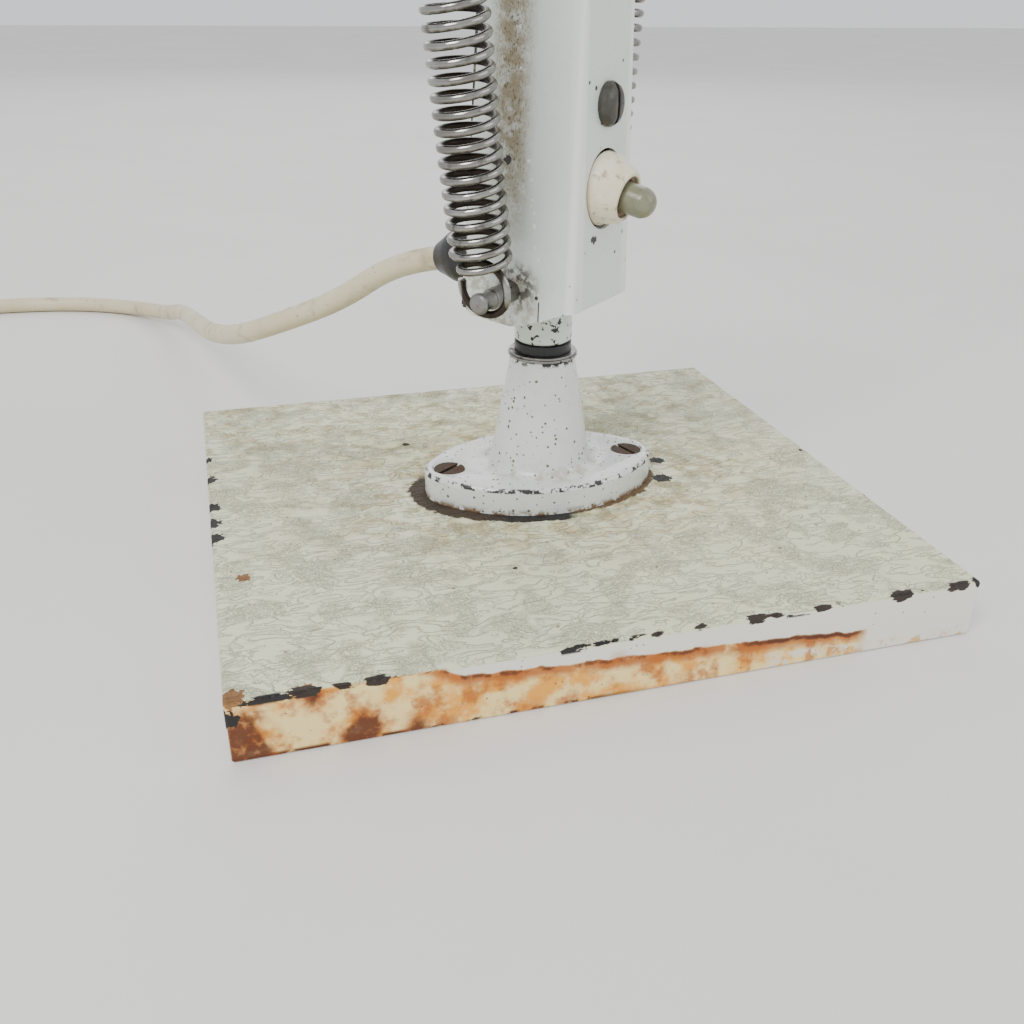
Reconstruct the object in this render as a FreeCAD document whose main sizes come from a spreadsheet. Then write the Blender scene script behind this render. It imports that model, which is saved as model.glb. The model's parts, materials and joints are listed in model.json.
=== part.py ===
import FreeCAD, Part
import Sketcher
import math
import os
import re

Vector = FreeCAD.Vector
Rotation = FreeCAD.Rotation
Placement = FreeCAD.Placement

X_AXIS = Vector(1, 0, 0)
Y_AXIS = Vector(0, 1, 0)
Z_AXIS = Vector(0, 0, 1)

doc = FreeCAD.newDocument("BalancedArmLamp")

# Driving dimensions in millimetres and degrees

SIZES = [
    # Heavy base plate; the swivel axis stands a little off its middle
    ("plate_length", 190.0),
    ("plate_width", 171.0),
    ("plate_thickness", 16.3),
    ("plate_edge_radius", 1.0),
    ("axis_offset_x", 2.4),
    ("axis_offset_y", 0.5),
    # Cast foot with an oval flange and a conical neck
    ("flange_length", 70.4),
    ("flange_width", 44.0),
    ("flange_end_radius", 11.0),
    ("flange_height", 8.2),
    ("flange_rim_radius", 1.6),
    ("cone_foot_radius", 15.1),
    ("cone_top_radius", 9.2),
    ("cone_height", 32.9),
    ("cone_root_radius", 3.0),
    ("foot_screw_spacing", 56.0),
    ("foot_screw_head_radius", 4.6),
    ("foot_screw_shank_radius", 2.3),
    ("foot_screw_length", 16.0),
    ("foot_screw_sink", 0.5),
    # Swivel: one long bolt, two washers, a fibre bush and a lock nut
    ("bolt_radius", 5.0),
    ("bolt_head_radius", 8.5),
    ("bolt_head_height", 5.0),
    ("bolt_pocket_radius", 9.0),
    ("washer_radius", 9.95),
    ("washer_thickness", 0.65),
    ("bush_radius", 8.15),
    ("bush_height", 2.8),
    ("running_gap", 0.3),
    ("running_fit", 0.05),
    ("assembly_gap", 0.1),
    ("swivel_rest_angle", 41.0),
    # Pivot block that carries the pillar on the swivel bolt
    ("collar_radius", 8.15),
    ("block_width", 29.4),
    ("block_depth", 15.0),
    ("block_bottom", 71.5),
    ("block_top", 86.0),
    ("nut_height", 6.0),
    ("nut_radius", 8.5),
    # Folded sheet pillar, tapered in width and in depth
    ("sheet_thickness", 1.2),
    ("pillar_low", 66.0),
    ("pillar_head_rise", 18.0),
    ("pillar_half_width_low", 16.6),
    ("pillar_half_width_high", 11.5),
    ("pillar_front_low", 18.2),
    ("pillar_front_high", 14.5),
    ("pillar_back_low", 17.2),
    ("pillar_back_high", 5.4),
    ("pillar_bend_radius", 2.5),
    ("front_bottom_height", 75.1),
    ("cheek_bottom_height", 69.2),
    ("cheek_bottom_reach", 0.8),
    ("cheek_back_reach", 15.4),
    ("cheek_back_height", 70.1),
    ("front_top_drop", 22.0),
    ("cheek_front_reach", 12.6),
    ("shoulder_back", -3.0),
    ("shoulder_height", 228.0),
    ("cheek_top_radius", 9.6),
    # Black channel that closes the open back of the pillar
    ("cover_thickness", 1.0),
    ("cover_leg", 9.0),
    ("cover_proud_low", 0.5),
    ("cover_proud_high", 3.0),
    ("cover_bottom", 71.5),
    ("cover_top_drop", 24.0),
    # Spring pins at the bottom and on the rocker levers
    ("pin_radius", 2.75),
    ("pin_neck_radius", 2.35),
    ("pin_neck_width", 4.6),
    ("pin_head_length", 1.5),
    ("lower_pin_back", 0.8),
    ("lower_pin_height", 78.8),
    ("lower_pin_reach", 28.2),
    ("upper_pin_reach", 44.5),
    ("lever_length", 41.5),
    ("lever_lean", 8.3),
    ("lever_width", 14.0),
    ("lever_thickness", 3.0),
    ("lever_outer_face", 34.5),
    # Balance springs
    ("wire_diameter", 2.03),
    ("spring_mean_radius", 7.0),
    ("hook_radius", 7.0),
    ("spring_coils", 24),
    # Switch in the front wall
    ("switch_height", 104.8),
    ("switch_hole_radius", 10.05),
    ("switch_droop", 12.0),
    ("switch_collar_radius", 9.2),
    ("switch_nose_radius", 6.6),
    ("switch_nose_length", 7.0),
    ("switch_barrel_length", 10.5),
    ("guide_radius", 5.35),
    ("plunger_radius", 3.95),
    ("plunger_reach", 14.7),
    ("plunger_travel", 4.0),
    ("front_screw_height", 125.3),
    ("front_screw_head_radius", 5.4),
    ("front_screw_head_height", 3.2),
    ("front_screw_shank_radius", 2.4),
    ("strap_width", 24.0),
    ("strap_thickness", 1.5),
    ("switch_nut_radius", 12.5),
    ("switch_nut_thickness", 2.2),
    # Cord gland, mains cord, coil and plug
    ("gland_droop", 12.0),
    ("gland_height", 84.2),
    ("gland_seat_back", 14.74),
    ("gland_body_radius", 8.2),
    ("gland_nose_radius", 5.0),
    ("gland_length", 21.0),
    ("cord_diameter", 7.0),
    ("coil_centre_x", -254.0),
    ("coil_centre_y", 238.0),
    ("coil_mean_radius", 41.0),
    ("coil_pitch", 7.5),
    ("plug_lead", 24.0),
    ("plug_corner_radius", 6.0),
    ("plug_width", 38.0),
    ("plug_height", 22.0),
    ("plug_length", 40.0),
    ("plug_neck_length", 26.0),
    ("plug_pin_radius", 2.0),
    ("plug_pin_length", 19.0),
    ("plug_pin_spacing", 19.0),
    # Shoulder shaft and the lower arm
    ("shaft_radius", 5.0),
    ("shoulder_bush_flange", 0.7),
    ("knuckle_half_width", 9.3),
    ("knuckle_radius", 9.5),
    ("lower_lean", 12.0),
    ("lower_length", 240.0),
    ("tube_radius", 8.0),
    ("tube_wall", 1.2),
    ("socket_wall", 1.6),
    ("socket_depth", 20.0),
    ("lower_neck", 14.0),
    # Elbow
    ("fork_half_width", 11.0),
    ("fork_cheek", 4.0),
    ("fork_radius", 11.0),
    ("fork_neck", 42.0),
    ("elbow_bolt_radius", 4.0),
    ("knob_radius", 15.0),
    ("knob_height", 13.0),
    ("elbow_bend", 114.0),
    # Upper arm and wrist
    ("upper_length", 180.0),
    ("upper_tube_radius", 7.0),
    ("upper_neck", 27.0),
    ("wrist_socket_length", 22.0),
    ("stem_radius", 4.0),
    ("stem_length", 16.0),
    # Yoke and searchlight head
    ("yoke_floor_gap", 12.0),
    ("yoke_clearance", 4.5),
    ("yoke_strap_width", 18.0),
    ("yoke_bend_radius", 7.0),
    ("tilt_boss_radius", 8.0),
    ("yoke_strap_thickness", 3.0),
    ("head_tilt_rest", 33.0),
    ("drum_radius", 50.0),
    ("drum_wall", 1.2),
    ("drum_front", 34.0),
    ("drum_rear", 24.0),
    ("drum_tail", 42.0),
    ("drum_tail_radius", 30.0),
    ("rim_overhang", 3.0),
    ("rim_depth", 11.0),
    ("lens_thickness", 3.0),
    ("lens_rise", 5.0),
    ("tilt_screw_radius", 3.0),
    ("tilt_screw_depth", 11.0),
    ("tilt_knob_radius", 9.0),
    ("tilt_knob_height", 11.0),
    ("vent_width", 4.0),
    ("vent_count", 12),
    ("cap_height", 13.0),
    ("holder_top", -16.0),
    ("holder_radius", 13.0),
    ("holder_flange_radius", 15.0),
    ("bulb_cap_radius", 11.1),
    ("bulb_radius", 22.5),
    ("bulb_length", 45.4),
    ("grip_place", -4.0),
    ("grip_length", 46.0),
    ("grip_radius", 8.0),
]

sheet = doc.addObject("Spreadsheet::Sheet", "Sizes")
for row, (alias, number) in enumerate(SIZES, start=1):
    sheet.set("A%d" % row, alias)
    sheet.set("B%d" % row, repr(number))
    sheet.setAlias("B%d" % row, alias)
doc.recompute()

ALIASES = [alias for alias, number in SIZES]

# The yoke goes round the drum, so its reach and its width follow the drum's radius
YOKE_REACH = "(drum_radius + yoke_floor_gap)"
YOKE_HALF_WIDTH = "(drum_radius + yoke_clearance + yoke_strap_thickness)"
BOSS_REACH = "(drum_radius + yoke_clearance - running_gap)"


def size(expression):
    """Value of an expression of sheet aliases, in millimetres or degrees."""
    return float(sheet.evalExpression(str(expression)))


def bound(expression):
    """The same expression with every alias written as a cell of the sheet."""
    def cell(match):
        word = match.group(0)
        return "Sizes." + word if word in ALIASES else word
    return re.sub(r"[a-z][a-z_0-9]*", cell, str(expression))


# Reference frames: the pillar turned to its rest angle, and each joint's frame

def swivel_frame():
    """Pillar frame: X to the right, Y to the back, Z up, turned about the swivel axis."""
    return Placement(Vector(0, 0, 0), Rotation(Z_AXIS, size("swivel_rest_angle")))


def shoulder_frame(lean):
    """Frame at the shoulder axis; its Z leans forward by the given angle."""
    place = Vector(0, size("shoulder_back"), size("shoulder_height"))
    return swivel_frame() * Placement(place, Rotation(X_AXIS, lean))


def lower_arm_frame():
    """Frame of the lower arm, Z from the shoulder to the elbow."""
    return shoulder_frame(-size("lower_lean"))


def upper_arm_frame():
    """Frame of the upper arm, Z from the elbow to the wrist."""
    elbow = Placement(Vector(0, 0, size("lower_length")), Rotation(X_AXIS, size("elbow_bend")))
    return lower_arm_frame() * elbow


def yoke_frame():
    """Frame of the yoke at the end of the upper arm, Z away from the arm."""
    return upper_arm_frame() * Placement(Vector(0, 0, size("upper_length")), Rotation())


def head_frame():
    """Frame of the lamp head on the tilt axis, Z along the beam."""
    tilt = Placement(Vector(0, 0, size(YOKE_REACH)), Rotation(X_AXIS, size("head_tilt_rest")))
    return yoke_frame() * tilt


# Modelling helpers

PARTS = []


def new_body(name, placement=None):
    """A sub-part as a PartDesign body, placed in the lamp's frame."""
    body = doc.addObject("PartDesign::Body", name)
    body.Label = name
    if placement is not None:
        body.Placement = placement
    PARTS.append(body)
    return body


def new_feature(name, shape, placement=None):
    """A sub-part whose form is built by Part's own functions."""
    feature = doc.addObject("Part::Feature", name)
    feature.Label = name
    feature.Shape = shape
    if placement is not None:
        feature.Placement = placement
    PARTS.append(feature)
    return feature


def origin_plane(body, role):
    """One of the three origin planes of a body."""
    for item in body.Origin.OriginFeatures:
        if item.Role == role:
            return item
    raise ValueError(role)


def new_sketch(body, name, role, lift="0"):
    """A sketch on an origin plane of its own body, lifted along the plane's normal."""
    sketch = body.newObject("Sketcher::SketchObject", name)
    sketch.AttachmentSupport = [(origin_plane(body, role), "")]
    sketch.MapMode = "FlatFace"
    if str(lift) != "0":
        sketch.AttachmentOffset = Placement(Vector(0, 0, size(lift)), Rotation())
        sketch.setExpression("AttachmentOffset.Base.z", bound(lift))
    return sketch


def pin_corner(sketch, edge, end, corner):
    """Ties one end of an edge to its place, as two bound distances from the origin."""
    for kind, expression in zip(("DistanceX", "DistanceY"), corner):
        index = sketch.addConstraint(
            Sketcher.Constraint(kind, -1, 1, edge, end, size(expression)))
        sketch.setExpression("Constraints[%d]" % index, bound(expression))


def draw_polygon(sketch, corners):
    """A closed outline of straight edges through corners given as pairs of expressions."""
    first = sketch.GeometryCount
    points = [Vector(size(a), size(b), 0) for a, b in corners]
    count = len(points)
    for i in range(count):
        sketch.addGeometry(Part.LineSegment(points[i], points[(i + 1) % count]))
    for i in range(count):
        sketch.addConstraint(
            Sketcher.Constraint("Coincident", first + i, 2, first + (i + 1) % count, 1))
    for i in range(count):
        pin_corner(sketch, first + i, 1, corners[i])


def draw_circle(sketch, centre, radius):
    """A circle whose centre and radius are bound expressions."""
    middle = Vector(size(centre[0]), size(centre[1]), 0)
    edge = sketch.addGeometry(Part.Circle(middle, Z_AXIS, size(radius)))
    index = sketch.addConstraint(Sketcher.Constraint("Radius", edge, size(radius)))
    sketch.setExpression("Constraints[%d]" % index, bound(radius))
    pin_corner(sketch, edge, 3, centre)


def draw_link(sketch, low, high, low_radius, high_radius):
    """A bar outline with rounded ends about two centres on a line along the sketch's Y."""
    rise = size(high) - size(low)
    small = size(low_radius)
    large = size(high_radius)
    lean = math.asin((small - large) / rise)
    across = math.cos(lean)
    along = math.sin(lean)
    bottom = Vector(0, size(low), 0)
    top = Vector(0, size(high), 0)
    right_low = bottom + Vector(small * across, small * along, 0)
    left_low = bottom + Vector(-small * across, small * along, 0)
    right_high = top + Vector(large * across, large * along, 0)
    left_high = top + Vector(-large * across, large * along, 0)
    crown = top + Vector(0, large, 0)
    base = bottom - Vector(0, small, 0)
    sketch.addGeometry(Part.LineSegment(right_low, right_high))
    sketch.addGeometry(Part.Arc(right_high, crown, left_high))
    sketch.addGeometry(Part.LineSegment(left_high, left_low))
    sketch.addGeometry(Part.Arc(left_low, base, right_low))
    for i in range(4):
        sketch.addConstraint(Sketcher.Constraint("Block", i))


def pad(body, sketch, length, name="Pad", both_ways=False, backward=False):
    """Extrudes a sketch by a bound length."""
    feature = body.newObject("PartDesign::Pad", name)
    feature.Profile = sketch
    feature.Length = size(length)
    feature.setExpression("Length", bound(length))
    feature.Midplane = both_ways
    feature.Reversed = backward
    return feature


def pocket(body, sketch, length, name="Pocket", both_ways=False, backward=False):
    """Cuts a sketch into the body by a bound length, and checks that it removed material."""
    doc.recompute()
    before = body.Shape.Volume
    feature = body.newObject("PartDesign::Pocket", name)
    feature.Profile = sketch
    feature.Length = size(length)
    feature.setExpression("Length", bound(length))
    feature.Midplane = both_ways
    feature.Reversed = backward
    doc.recompute()
    if body.Shape.Volume > before - 0.01:
        raise RuntimeError("%s: %s cuts nothing" % (body.Label, name))
    return feature


def turn(body, corners, name="Turned"):
    """Revolves an outline of (radius, height) corners about the body's Z axis."""
    sketch = new_sketch(body, name + "Outline", "XZ_Plane")
    draw_polygon(sketch, corners)
    feature = body.newObject("PartDesign::Revolution", name)
    feature.Profile = sketch
    feature.ReferenceAxis = (sketch, ["V_Axis"])
    feature.Angle = 360
    return feature


def turned_part(name, corners, placement=None):
    """A whole sub-part turned about its own Z axis."""
    body = new_body(name, placement)
    turn(body, corners)
    return body


def bore(body, radius, low, high, name="Bore", place=None, tilt=None):
    """Cuts a round hole along Z, or along a turned axis, through the body."""
    doc.recompute()
    before = body.Shape.Volume
    feature = body.newObject("PartDesign::SubtractiveCylinder", name)
    feature.Radius = size(radius)
    feature.setExpression("Radius", bound(radius))
    feature.Height = size(high) - size(low)
    feature.setExpression("Height", bound("(%s) - (%s)" % (high, low)))
    turned = tilt if tilt is not None else Rotation()
    foot = place if place is not None else Vector(0, 0, 0)
    feature.Placement = Placement(foot + turned.multVec(Vector(0, 0, size(low))), turned)
    doc.recompute()
    if body.Shape.Volume > before - 0.01:
        raise RuntimeError("%s: %s cuts nothing" % (body.Label, name))
    return feature


def round_edges(body, base, radius, chosen, name="Rounding"):
    """Fillets the edges of a feature that a test picks."""
    doc.recompute()
    names = []
    for i, edge in enumerate(base.Shape.Edges, start=1):
        if chosen(edge):
            names.append("Edge%d" % i)
    if not names:
        raise RuntimeError("%s: no edge to round for %s" % (body.Label, name))
    feature = body.newObject("PartDesign::Fillet", name)
    feature.Base = (base, names)
    feature.Radius = size(radius)
    feature.setExpression("Radius", bound(radius))
    return feature


def edge_middle(edge):
    """Point at the middle of an edge's parameter range."""
    return edge.valueAt(0.5 * (edge.FirstParameter + edge.LastParameter))


def straight_edge_along(edge, axis):
    """True for a straight edge that runs along an axis."""
    if edge.Curve.TypeId != "Part::GeomLine":
        return False
    return abs(edge.tangentAt(edge.FirstParameter).dot(axis)) > 0.99


# Base plate and foot

def base_plate():
    """Thick steel slab with two tapped holes for the foot's screws."""
    body = new_body("base_plate")
    sketch = new_sketch(body, "PlateOutline", "XY_Plane")
    left = "-plate_length / 2 - axis_offset_x"
    right = "plate_length / 2 - axis_offset_x"
    front = "-plate_width / 2 - axis_offset_y"
    back = "plate_width / 2 - axis_offset_y"
    draw_polygon(sketch, [(left, front), (right, front), (right, back), (left, back)])
    slab = pad(body, sketch, "plate_thickness", "Slab")
    doc.recompute()
    round_edges(body, slab, "plate_edge_radius", lambda edge: True)
    for side in (-1, 1):
        place = Vector(side * size("foot_screw_spacing") / 2, 0, 0)
        bore(body, "foot_screw_shank_radius + assembly_gap",
             "plate_thickness + flange_height - foot_screw_length - 1", "plate_thickness + 1",
             "TappedHole", place)
    return body


def foot_casting():
    """Oval flange with rounded ends, and the conical neck that carries the swivel."""
    body = new_body("foot_casting")
    sketch = new_sketch(body, "FlangeOutline", "XY_Plane", "plate_thickness")
    end = size("flange_end_radius")
    half = size("flange_width / 2")
    centre = size("flange_length / 2") - end
    drop = (centre ** 2 - (half - end) ** 2) / (2 * (half - end))
    side = half + drop
    touch_x = centre * side / (side - end)
    touch_y = drop * end / (side - end)
    corners = [Vector(touch_x, touch_y, 0), Vector(-touch_x, touch_y, 0),
               Vector(-touch_x, -touch_y, 0), Vector(touch_x, -touch_y, 0)]
    middles = [Vector(0, half, 0), Vector(-centre - end, 0, 0),
               Vector(0, -half, 0), Vector(centre + end, 0, 0)]
    for i in range(4):
        sketch.addGeometry(Part.Arc(corners[i], middles[i], corners[(i + 1) % 4]))
        sketch.addConstraint(Sketcher.Constraint("Block", i))
    flange = pad(body, sketch, "flange_height", "Flange")
    doc.recompute()
    top = size("plate_thickness + flange_height")
    rounded = round_edges(body, flange, "flange_rim_radius",
                          lambda edge: edge.BoundBox.ZMin > top - 0.01, "FlangeRim")
    doc.recompute()
    cone = turn(body, [
        ("0", "plate_thickness + 1"),
        ("cone_foot_radius", "plate_thickness + 1"),
        ("cone_foot_radius", "plate_thickness + flange_height"),
        ("cone_top_radius", "plate_thickness + flange_height + cone_height"),
        ("0", "plate_thickness + flange_height + cone_height")], "Neck")
    doc.recompute()

    def at_cone_root(edge):
        box = edge.BoundBox
        return abs(box.ZMin - top) < 0.01 and abs(box.ZMax - top) < 0.01 and \
            abs(box.XMax - size("cone_foot_radius")) < 0.01
    round_edges(body, cone, "cone_root_radius", at_cone_root, "NeckRoot")
    bore(body, "bolt_radius + assembly_gap", "plate_thickness - 1",
         "plate_thickness + flange_height + cone_height + 1", "BoltHole")
    bore(body, "bolt_pocket_radius", "plate_thickness - 1",
         "plate_thickness + bolt_head_height + assembly_gap", "HeadPocket")
    for side in (-1, 1):
        place = Vector(side * size("foot_screw_spacing") / 2, 0, 0)
        bore(body, "foot_screw_shank_radius + assembly_gap", "plate_thickness - 1",
             "plate_thickness + flange_height + 1", "ScrewHole", place)
        sink = body.newObject("PartDesign::SubtractiveCone", "Countersink")
        sink.Radius1 = size("foot_screw_shank_radius + assembly_gap")
        sink.setExpression("Radius1", bound("foot_screw_shank_radius + assembly_gap"))
        sink.Radius2 = size("foot_screw_head_radius + 2 * assembly_gap + foot_screw_sink")
        sink.setExpression(
            "Radius2", bound("foot_screw_head_radius + 2 * assembly_gap + foot_screw_sink"))
        depth = "foot_screw_head_radius - foot_screw_shank_radius + assembly_gap + foot_screw_sink"
        sink.Height = size(depth)
        sink.setExpression("Height", bound(depth))
        sink.Placement = Placement(
            Vector(side * size("foot_screw_spacing") / 2, 0, top - size(depth)), Rotation())
        doc.recompute()
    return body


def foot_screws():
    """Two slotted countersunk screws, as one node of two separate solids."""
    head = size("foot_screw_head_radius")
    shank = size("foot_screw_shank_radius")
    length = size("foot_screw_length")
    top = size("plate_thickness + flange_height - foot_screw_sink")
    screws = []
    for side, turn_angle in ((-1, 35.0), (1, 110.0)):
        cone = Part.makeCone(shank, head, head - shank, Vector(0, 0, top - head + shank))
        stem = Part.makeCylinder(shank, length - head + shank, Vector(0, 0, top - length))
        screw = cone.fuse(stem)
        slot = Part.makeBox(2.4 * head, 1.1, 1.2, Vector(-1.2 * head, -0.55, top - 1.1))
        screw = screw.cut(slot).removeSplitter()
        screw.rotate(Vector(0, 0, 0), Z_AXIS, turn_angle)
        screw.translate(Vector(side * size("foot_screw_spacing") / 2, 0, 0))
        screws.append(screw)
    return new_feature("foot_screws", Part.makeCompound(screws))


FOOT_TOP = "plate_thickness + flange_height + cone_height"
BUSH_LOW = FOOT_TOP + " + 2 * washer_thickness"
COLLAR_LOW = BUSH_LOW + " + bush_height + running_gap"
NUT_LOW = "block_top + running_gap"


def swivel_stack():
    """Washers, fibre bush, long bolt and lock nut on the swivel axis."""
    hole = "bolt_radius + assembly_gap"

    def ring(name, radius, low, high):
        return turned_part(name, [(hole, low), (radius, low), (radius, high), (hole, high)])
    ring("lower_washer", "washer_radius", FOOT_TOP, FOOT_TOP + " + washer_thickness")
    ring("upper_washer", "washer_radius - 0.35", FOOT_TOP + " + washer_thickness", BUSH_LOW)
    ring("bearing_bush", "bush_radius", BUSH_LOW, BUSH_LOW + " + bush_height")
    bolt = new_body("swivel_bolt")
    head = new_sketch(bolt, "HeadOutline", "XY_Plane", "plate_thickness + 0.02")
    draw_polygon(head, hexagon("bolt_head_radius"))
    pad(bolt, head, "bolt_head_height", "Head")
    shank = new_sketch(bolt, "ShankOutline", "XY_Plane", "plate_thickness + 1")
    draw_circle(shank, ("0", "0"), "bolt_radius")
    pad(bolt, shank, NUT_LOW + " + nut_height + 1.5 - plate_thickness - 1", "Shank")
    nut = new_body("swivel_nut")
    outline = new_sketch(nut, "NutOutline", "XY_Plane", NUT_LOW)
    draw_polygon(outline, hexagon("nut_radius"))
    draw_circle(outline, ("0", "0"), hole)
    pad(nut, outline, "nut_height", "Nut")


def hexagon(radius):
    """Corners of a hexagon whose corners lie on the given radius."""
    return [("(%s) * cos(%d)" % (radius, 60 * i), "(%s) * sin(%d)" % (radius, 60 * i))
            for i in range(6)]


# Pillar

PILLAR_HIGH = "(shoulder_height + pillar_head_rise)"
FRONT_TOP = "shoulder_height - front_top_drop"
COVER_TOP = "shoulder_height - cover_top_drop"


def along_pillar(low, high, level):
    """Expression of a size that changes evenly from the pillar's foot to its head."""
    return "(%s + ((%s) - pillar_low) / (%s - pillar_low) * (%s - (%s)))" % (
        low, level, PILLAR_HIGH, high, low)


def half_width_at(level):
    """Expression of the pillar's outer half width at a level."""
    return along_pillar("pillar_half_width_low", "pillar_half_width_high", level)


def pillar_half_width(height, inset=0.0):
    """Outer half width of the tapered pillar at a height, less an inset."""
    return size(half_width_at(height)) - inset


def pillar_face(side, height):
    """Y of the pillar's front or back edge at a height."""
    reach = size(along_pillar("pillar_%s_low" % side, "pillar_%s_high" % side, height))
    return -reach if side == "front" else reach


def wall_lean():
    """Angle by which the front wall leans back from the vertical."""
    return math.degrees(math.atan(
        size("(pillar_front_low - pillar_front_high) / (%s - pillar_low)" % PILLAR_HIGH)))


def face_frame(height):
    """Frame on the front wall at a height, Z outwards and Y up along the wall."""
    place = Vector(0, pillar_face("front", height), height)
    return swivel_frame() * Placement(place, Rotation(X_AXIS, 90 - wall_lean()))


def rectangle_sketch(body, name, level, half_width, front, back):
    """A rectangle at a level, symmetrical about the YZ plane."""
    sketch = new_sketch(body, name, "XY_Plane", level)
    draw_polygon(sketch, [
        ("-(%s)" % half_width, front), (half_width, front),
        (half_width, back), ("-(%s)" % half_width, back)])
    return sketch


def loft(body, kind, low, high, name):
    """A ruled loft between two sketches, added or cut."""
    feature = body.newObject(kind, name)
    feature.Profile = low
    feature.Sections = [high]
    feature.Ruled = True
    return feature


def pillar_shell():
    """Folded sheet pillar: front wall, two cheeks, open back, cheeks rounded at both ends."""
    body = new_body("pillar_shell", swivel_frame())
    low = rectangle_sketch(body, "FootSection", "pillar_low", "pillar_half_width_low",
                           "-pillar_front_low", "pillar_back_low")
    high = rectangle_sketch(body, "HeadSection", PILLAR_HIGH, "pillar_half_width_high",
                            "-pillar_front_high", "pillar_back_high")
    loft(body, "PartDesign::AdditiveLoft", low, high, "OuterForm")
    wall = "sheet_thickness"
    inner_low = rectangle_sketch(
        body, "FootHollow", "pillar_low", "pillar_half_width_low - " + wall,
        "-pillar_front_low + " + wall, "pillar_back_low + 5")
    inner_high = rectangle_sketch(
        body, "HeadHollow", PILLAR_HIGH, "pillar_half_width_high - " + wall,
        "-pillar_front_high + " + wall, "pillar_back_high + 5")
    hollow = loft(body, "PartDesign::SubtractiveLoft", inner_low, inner_high, "Hollow")
    doc.recompute()

    def bend_edge(inset):
        """Test for the long front edges that lie at an inset from the outer half width."""
        def chosen(edge):
            point = edge_middle(edge)
            reach = pillar_half_width(point.z, inset)
            return edge.BoundBox.ZLength > 100 and point.y < 0 and \
                abs(abs(point.x) - reach) < 0.05
        return chosen
    bends = round_edges(body, hollow, "pillar_bend_radius", bend_edge(0.0), "Bends")
    doc.recompute()
    round_edges(body, bends, "pillar_bend_radius - sheet_thickness", bend_edge(size(wall)),
                "InnerBends")
    doc.recompute()

    bottom = new_sketch(body, "BottomOutline", "YZ_Plane")
    draw_polygon(bottom, [
        ("-pillar_front_low - 5", "pillar_low - 5"),
        ("pillar_back_low + 5", "pillar_low - 5"),
        ("pillar_back_low + 5", "cheek_back_height + 3.5"),
        ("cheek_back_reach + 0.7", "cheek_back_height + 2.5"),
        ("cheek_back_reach - 1.5", "cheek_back_height + 0.3"),
        ("cheek_bottom_reach + 4", "cheek_bottom_height + 0.25"),
        ("cheek_bottom_reach", "cheek_bottom_height"),
        ("cheek_bottom_reach - 4", "cheek_bottom_height + 0.8"),
        ("-pillar_front_low + 2", "front_bottom_height"),
        ("-pillar_front_low - 5", "front_bottom_height")])
    pocket(body, bottom, "4 * pillar_half_width_low", "BottomCut", both_ways=True)
    top = new_sketch(body, "TopOutline", "YZ_Plane")
    centre = Vector(size("shoulder_back"), size("shoulder_height"), 0)
    radius = size("cheek_top_radius")
    left = centre - Vector(radius, 0, 0)
    right = centre + Vector(radius, 0, 0)
    far = size("pillar_front_low + pillar_back_low") + 5
    roof = size(PILLAR_HIGH) + 10
    outline = [
        Part.LineSegment(Vector(-far, centre.y, 0), left),
        Part.Arc(left, centre + Vector(0, radius, 0), right),
        Part.LineSegment(right, Vector(far, centre.y, 0)),
        Part.LineSegment(Vector(far, centre.y, 0), Vector(far, roof, 0)),
        Part.LineSegment(Vector(far, roof, 0), Vector(-far, roof, 0)),
        Part.LineSegment(Vector(-far, roof, 0), Vector(-far, centre.y, 0))]
    for i, curve in enumerate(outline):
        top.addGeometry(curve)
        top.addConstraint(Sketcher.Constraint("Block", i))
    pocket(body, top, "4 * pillar_half_width_low", "TopCut", both_ways=True)
    throat = new_sketch(body, "ThroatOutline", "YZ_Plane")
    draw_polygon(throat, [
        ("-pillar_front_low - 5", FRONT_TOP), ("-cheek_front_reach", FRONT_TOP),
        ("-cheek_front_reach", PILLAR_HIGH + " + 5"),
        ("-pillar_front_low - 5", PILLAR_HIGH + " + 5")])
    pocket(body, throat, "4 * pillar_half_width_low", "ThroatCut", both_ways=True)
    forward = Rotation(X_AXIS, 90)
    bore(body, "switch_hole_radius", "5", "pillar_front_low + 5", "SwitchHole",
         Vector(0, 0, size("switch_height")), forward)
    bore(body, "front_screw_shank_radius + assembly_gap", "5", "pillar_front_low + 5",
         "FrontScrewHole", Vector(0, 0, size("front_screw_height")), forward)
    sideways = Rotation(Y_AXIS, 90)
    bore(body, "pin_radius + assembly_gap", "-pillar_half_width_low - 5",
         "pillar_half_width_low + 5", "PinHoles",
         Vector(0, size("lower_pin_back"), size("lower_pin_height")), sideways)
    bore(body, "shaft_radius + running_fit + 1.2 + assembly_gap", "-pillar_half_width_low - 5",
         "pillar_half_width_low + 5", "ShaftHoles",
         Vector(0, size("shoulder_back"), size("shoulder_height")), sideways)
    return body


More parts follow.
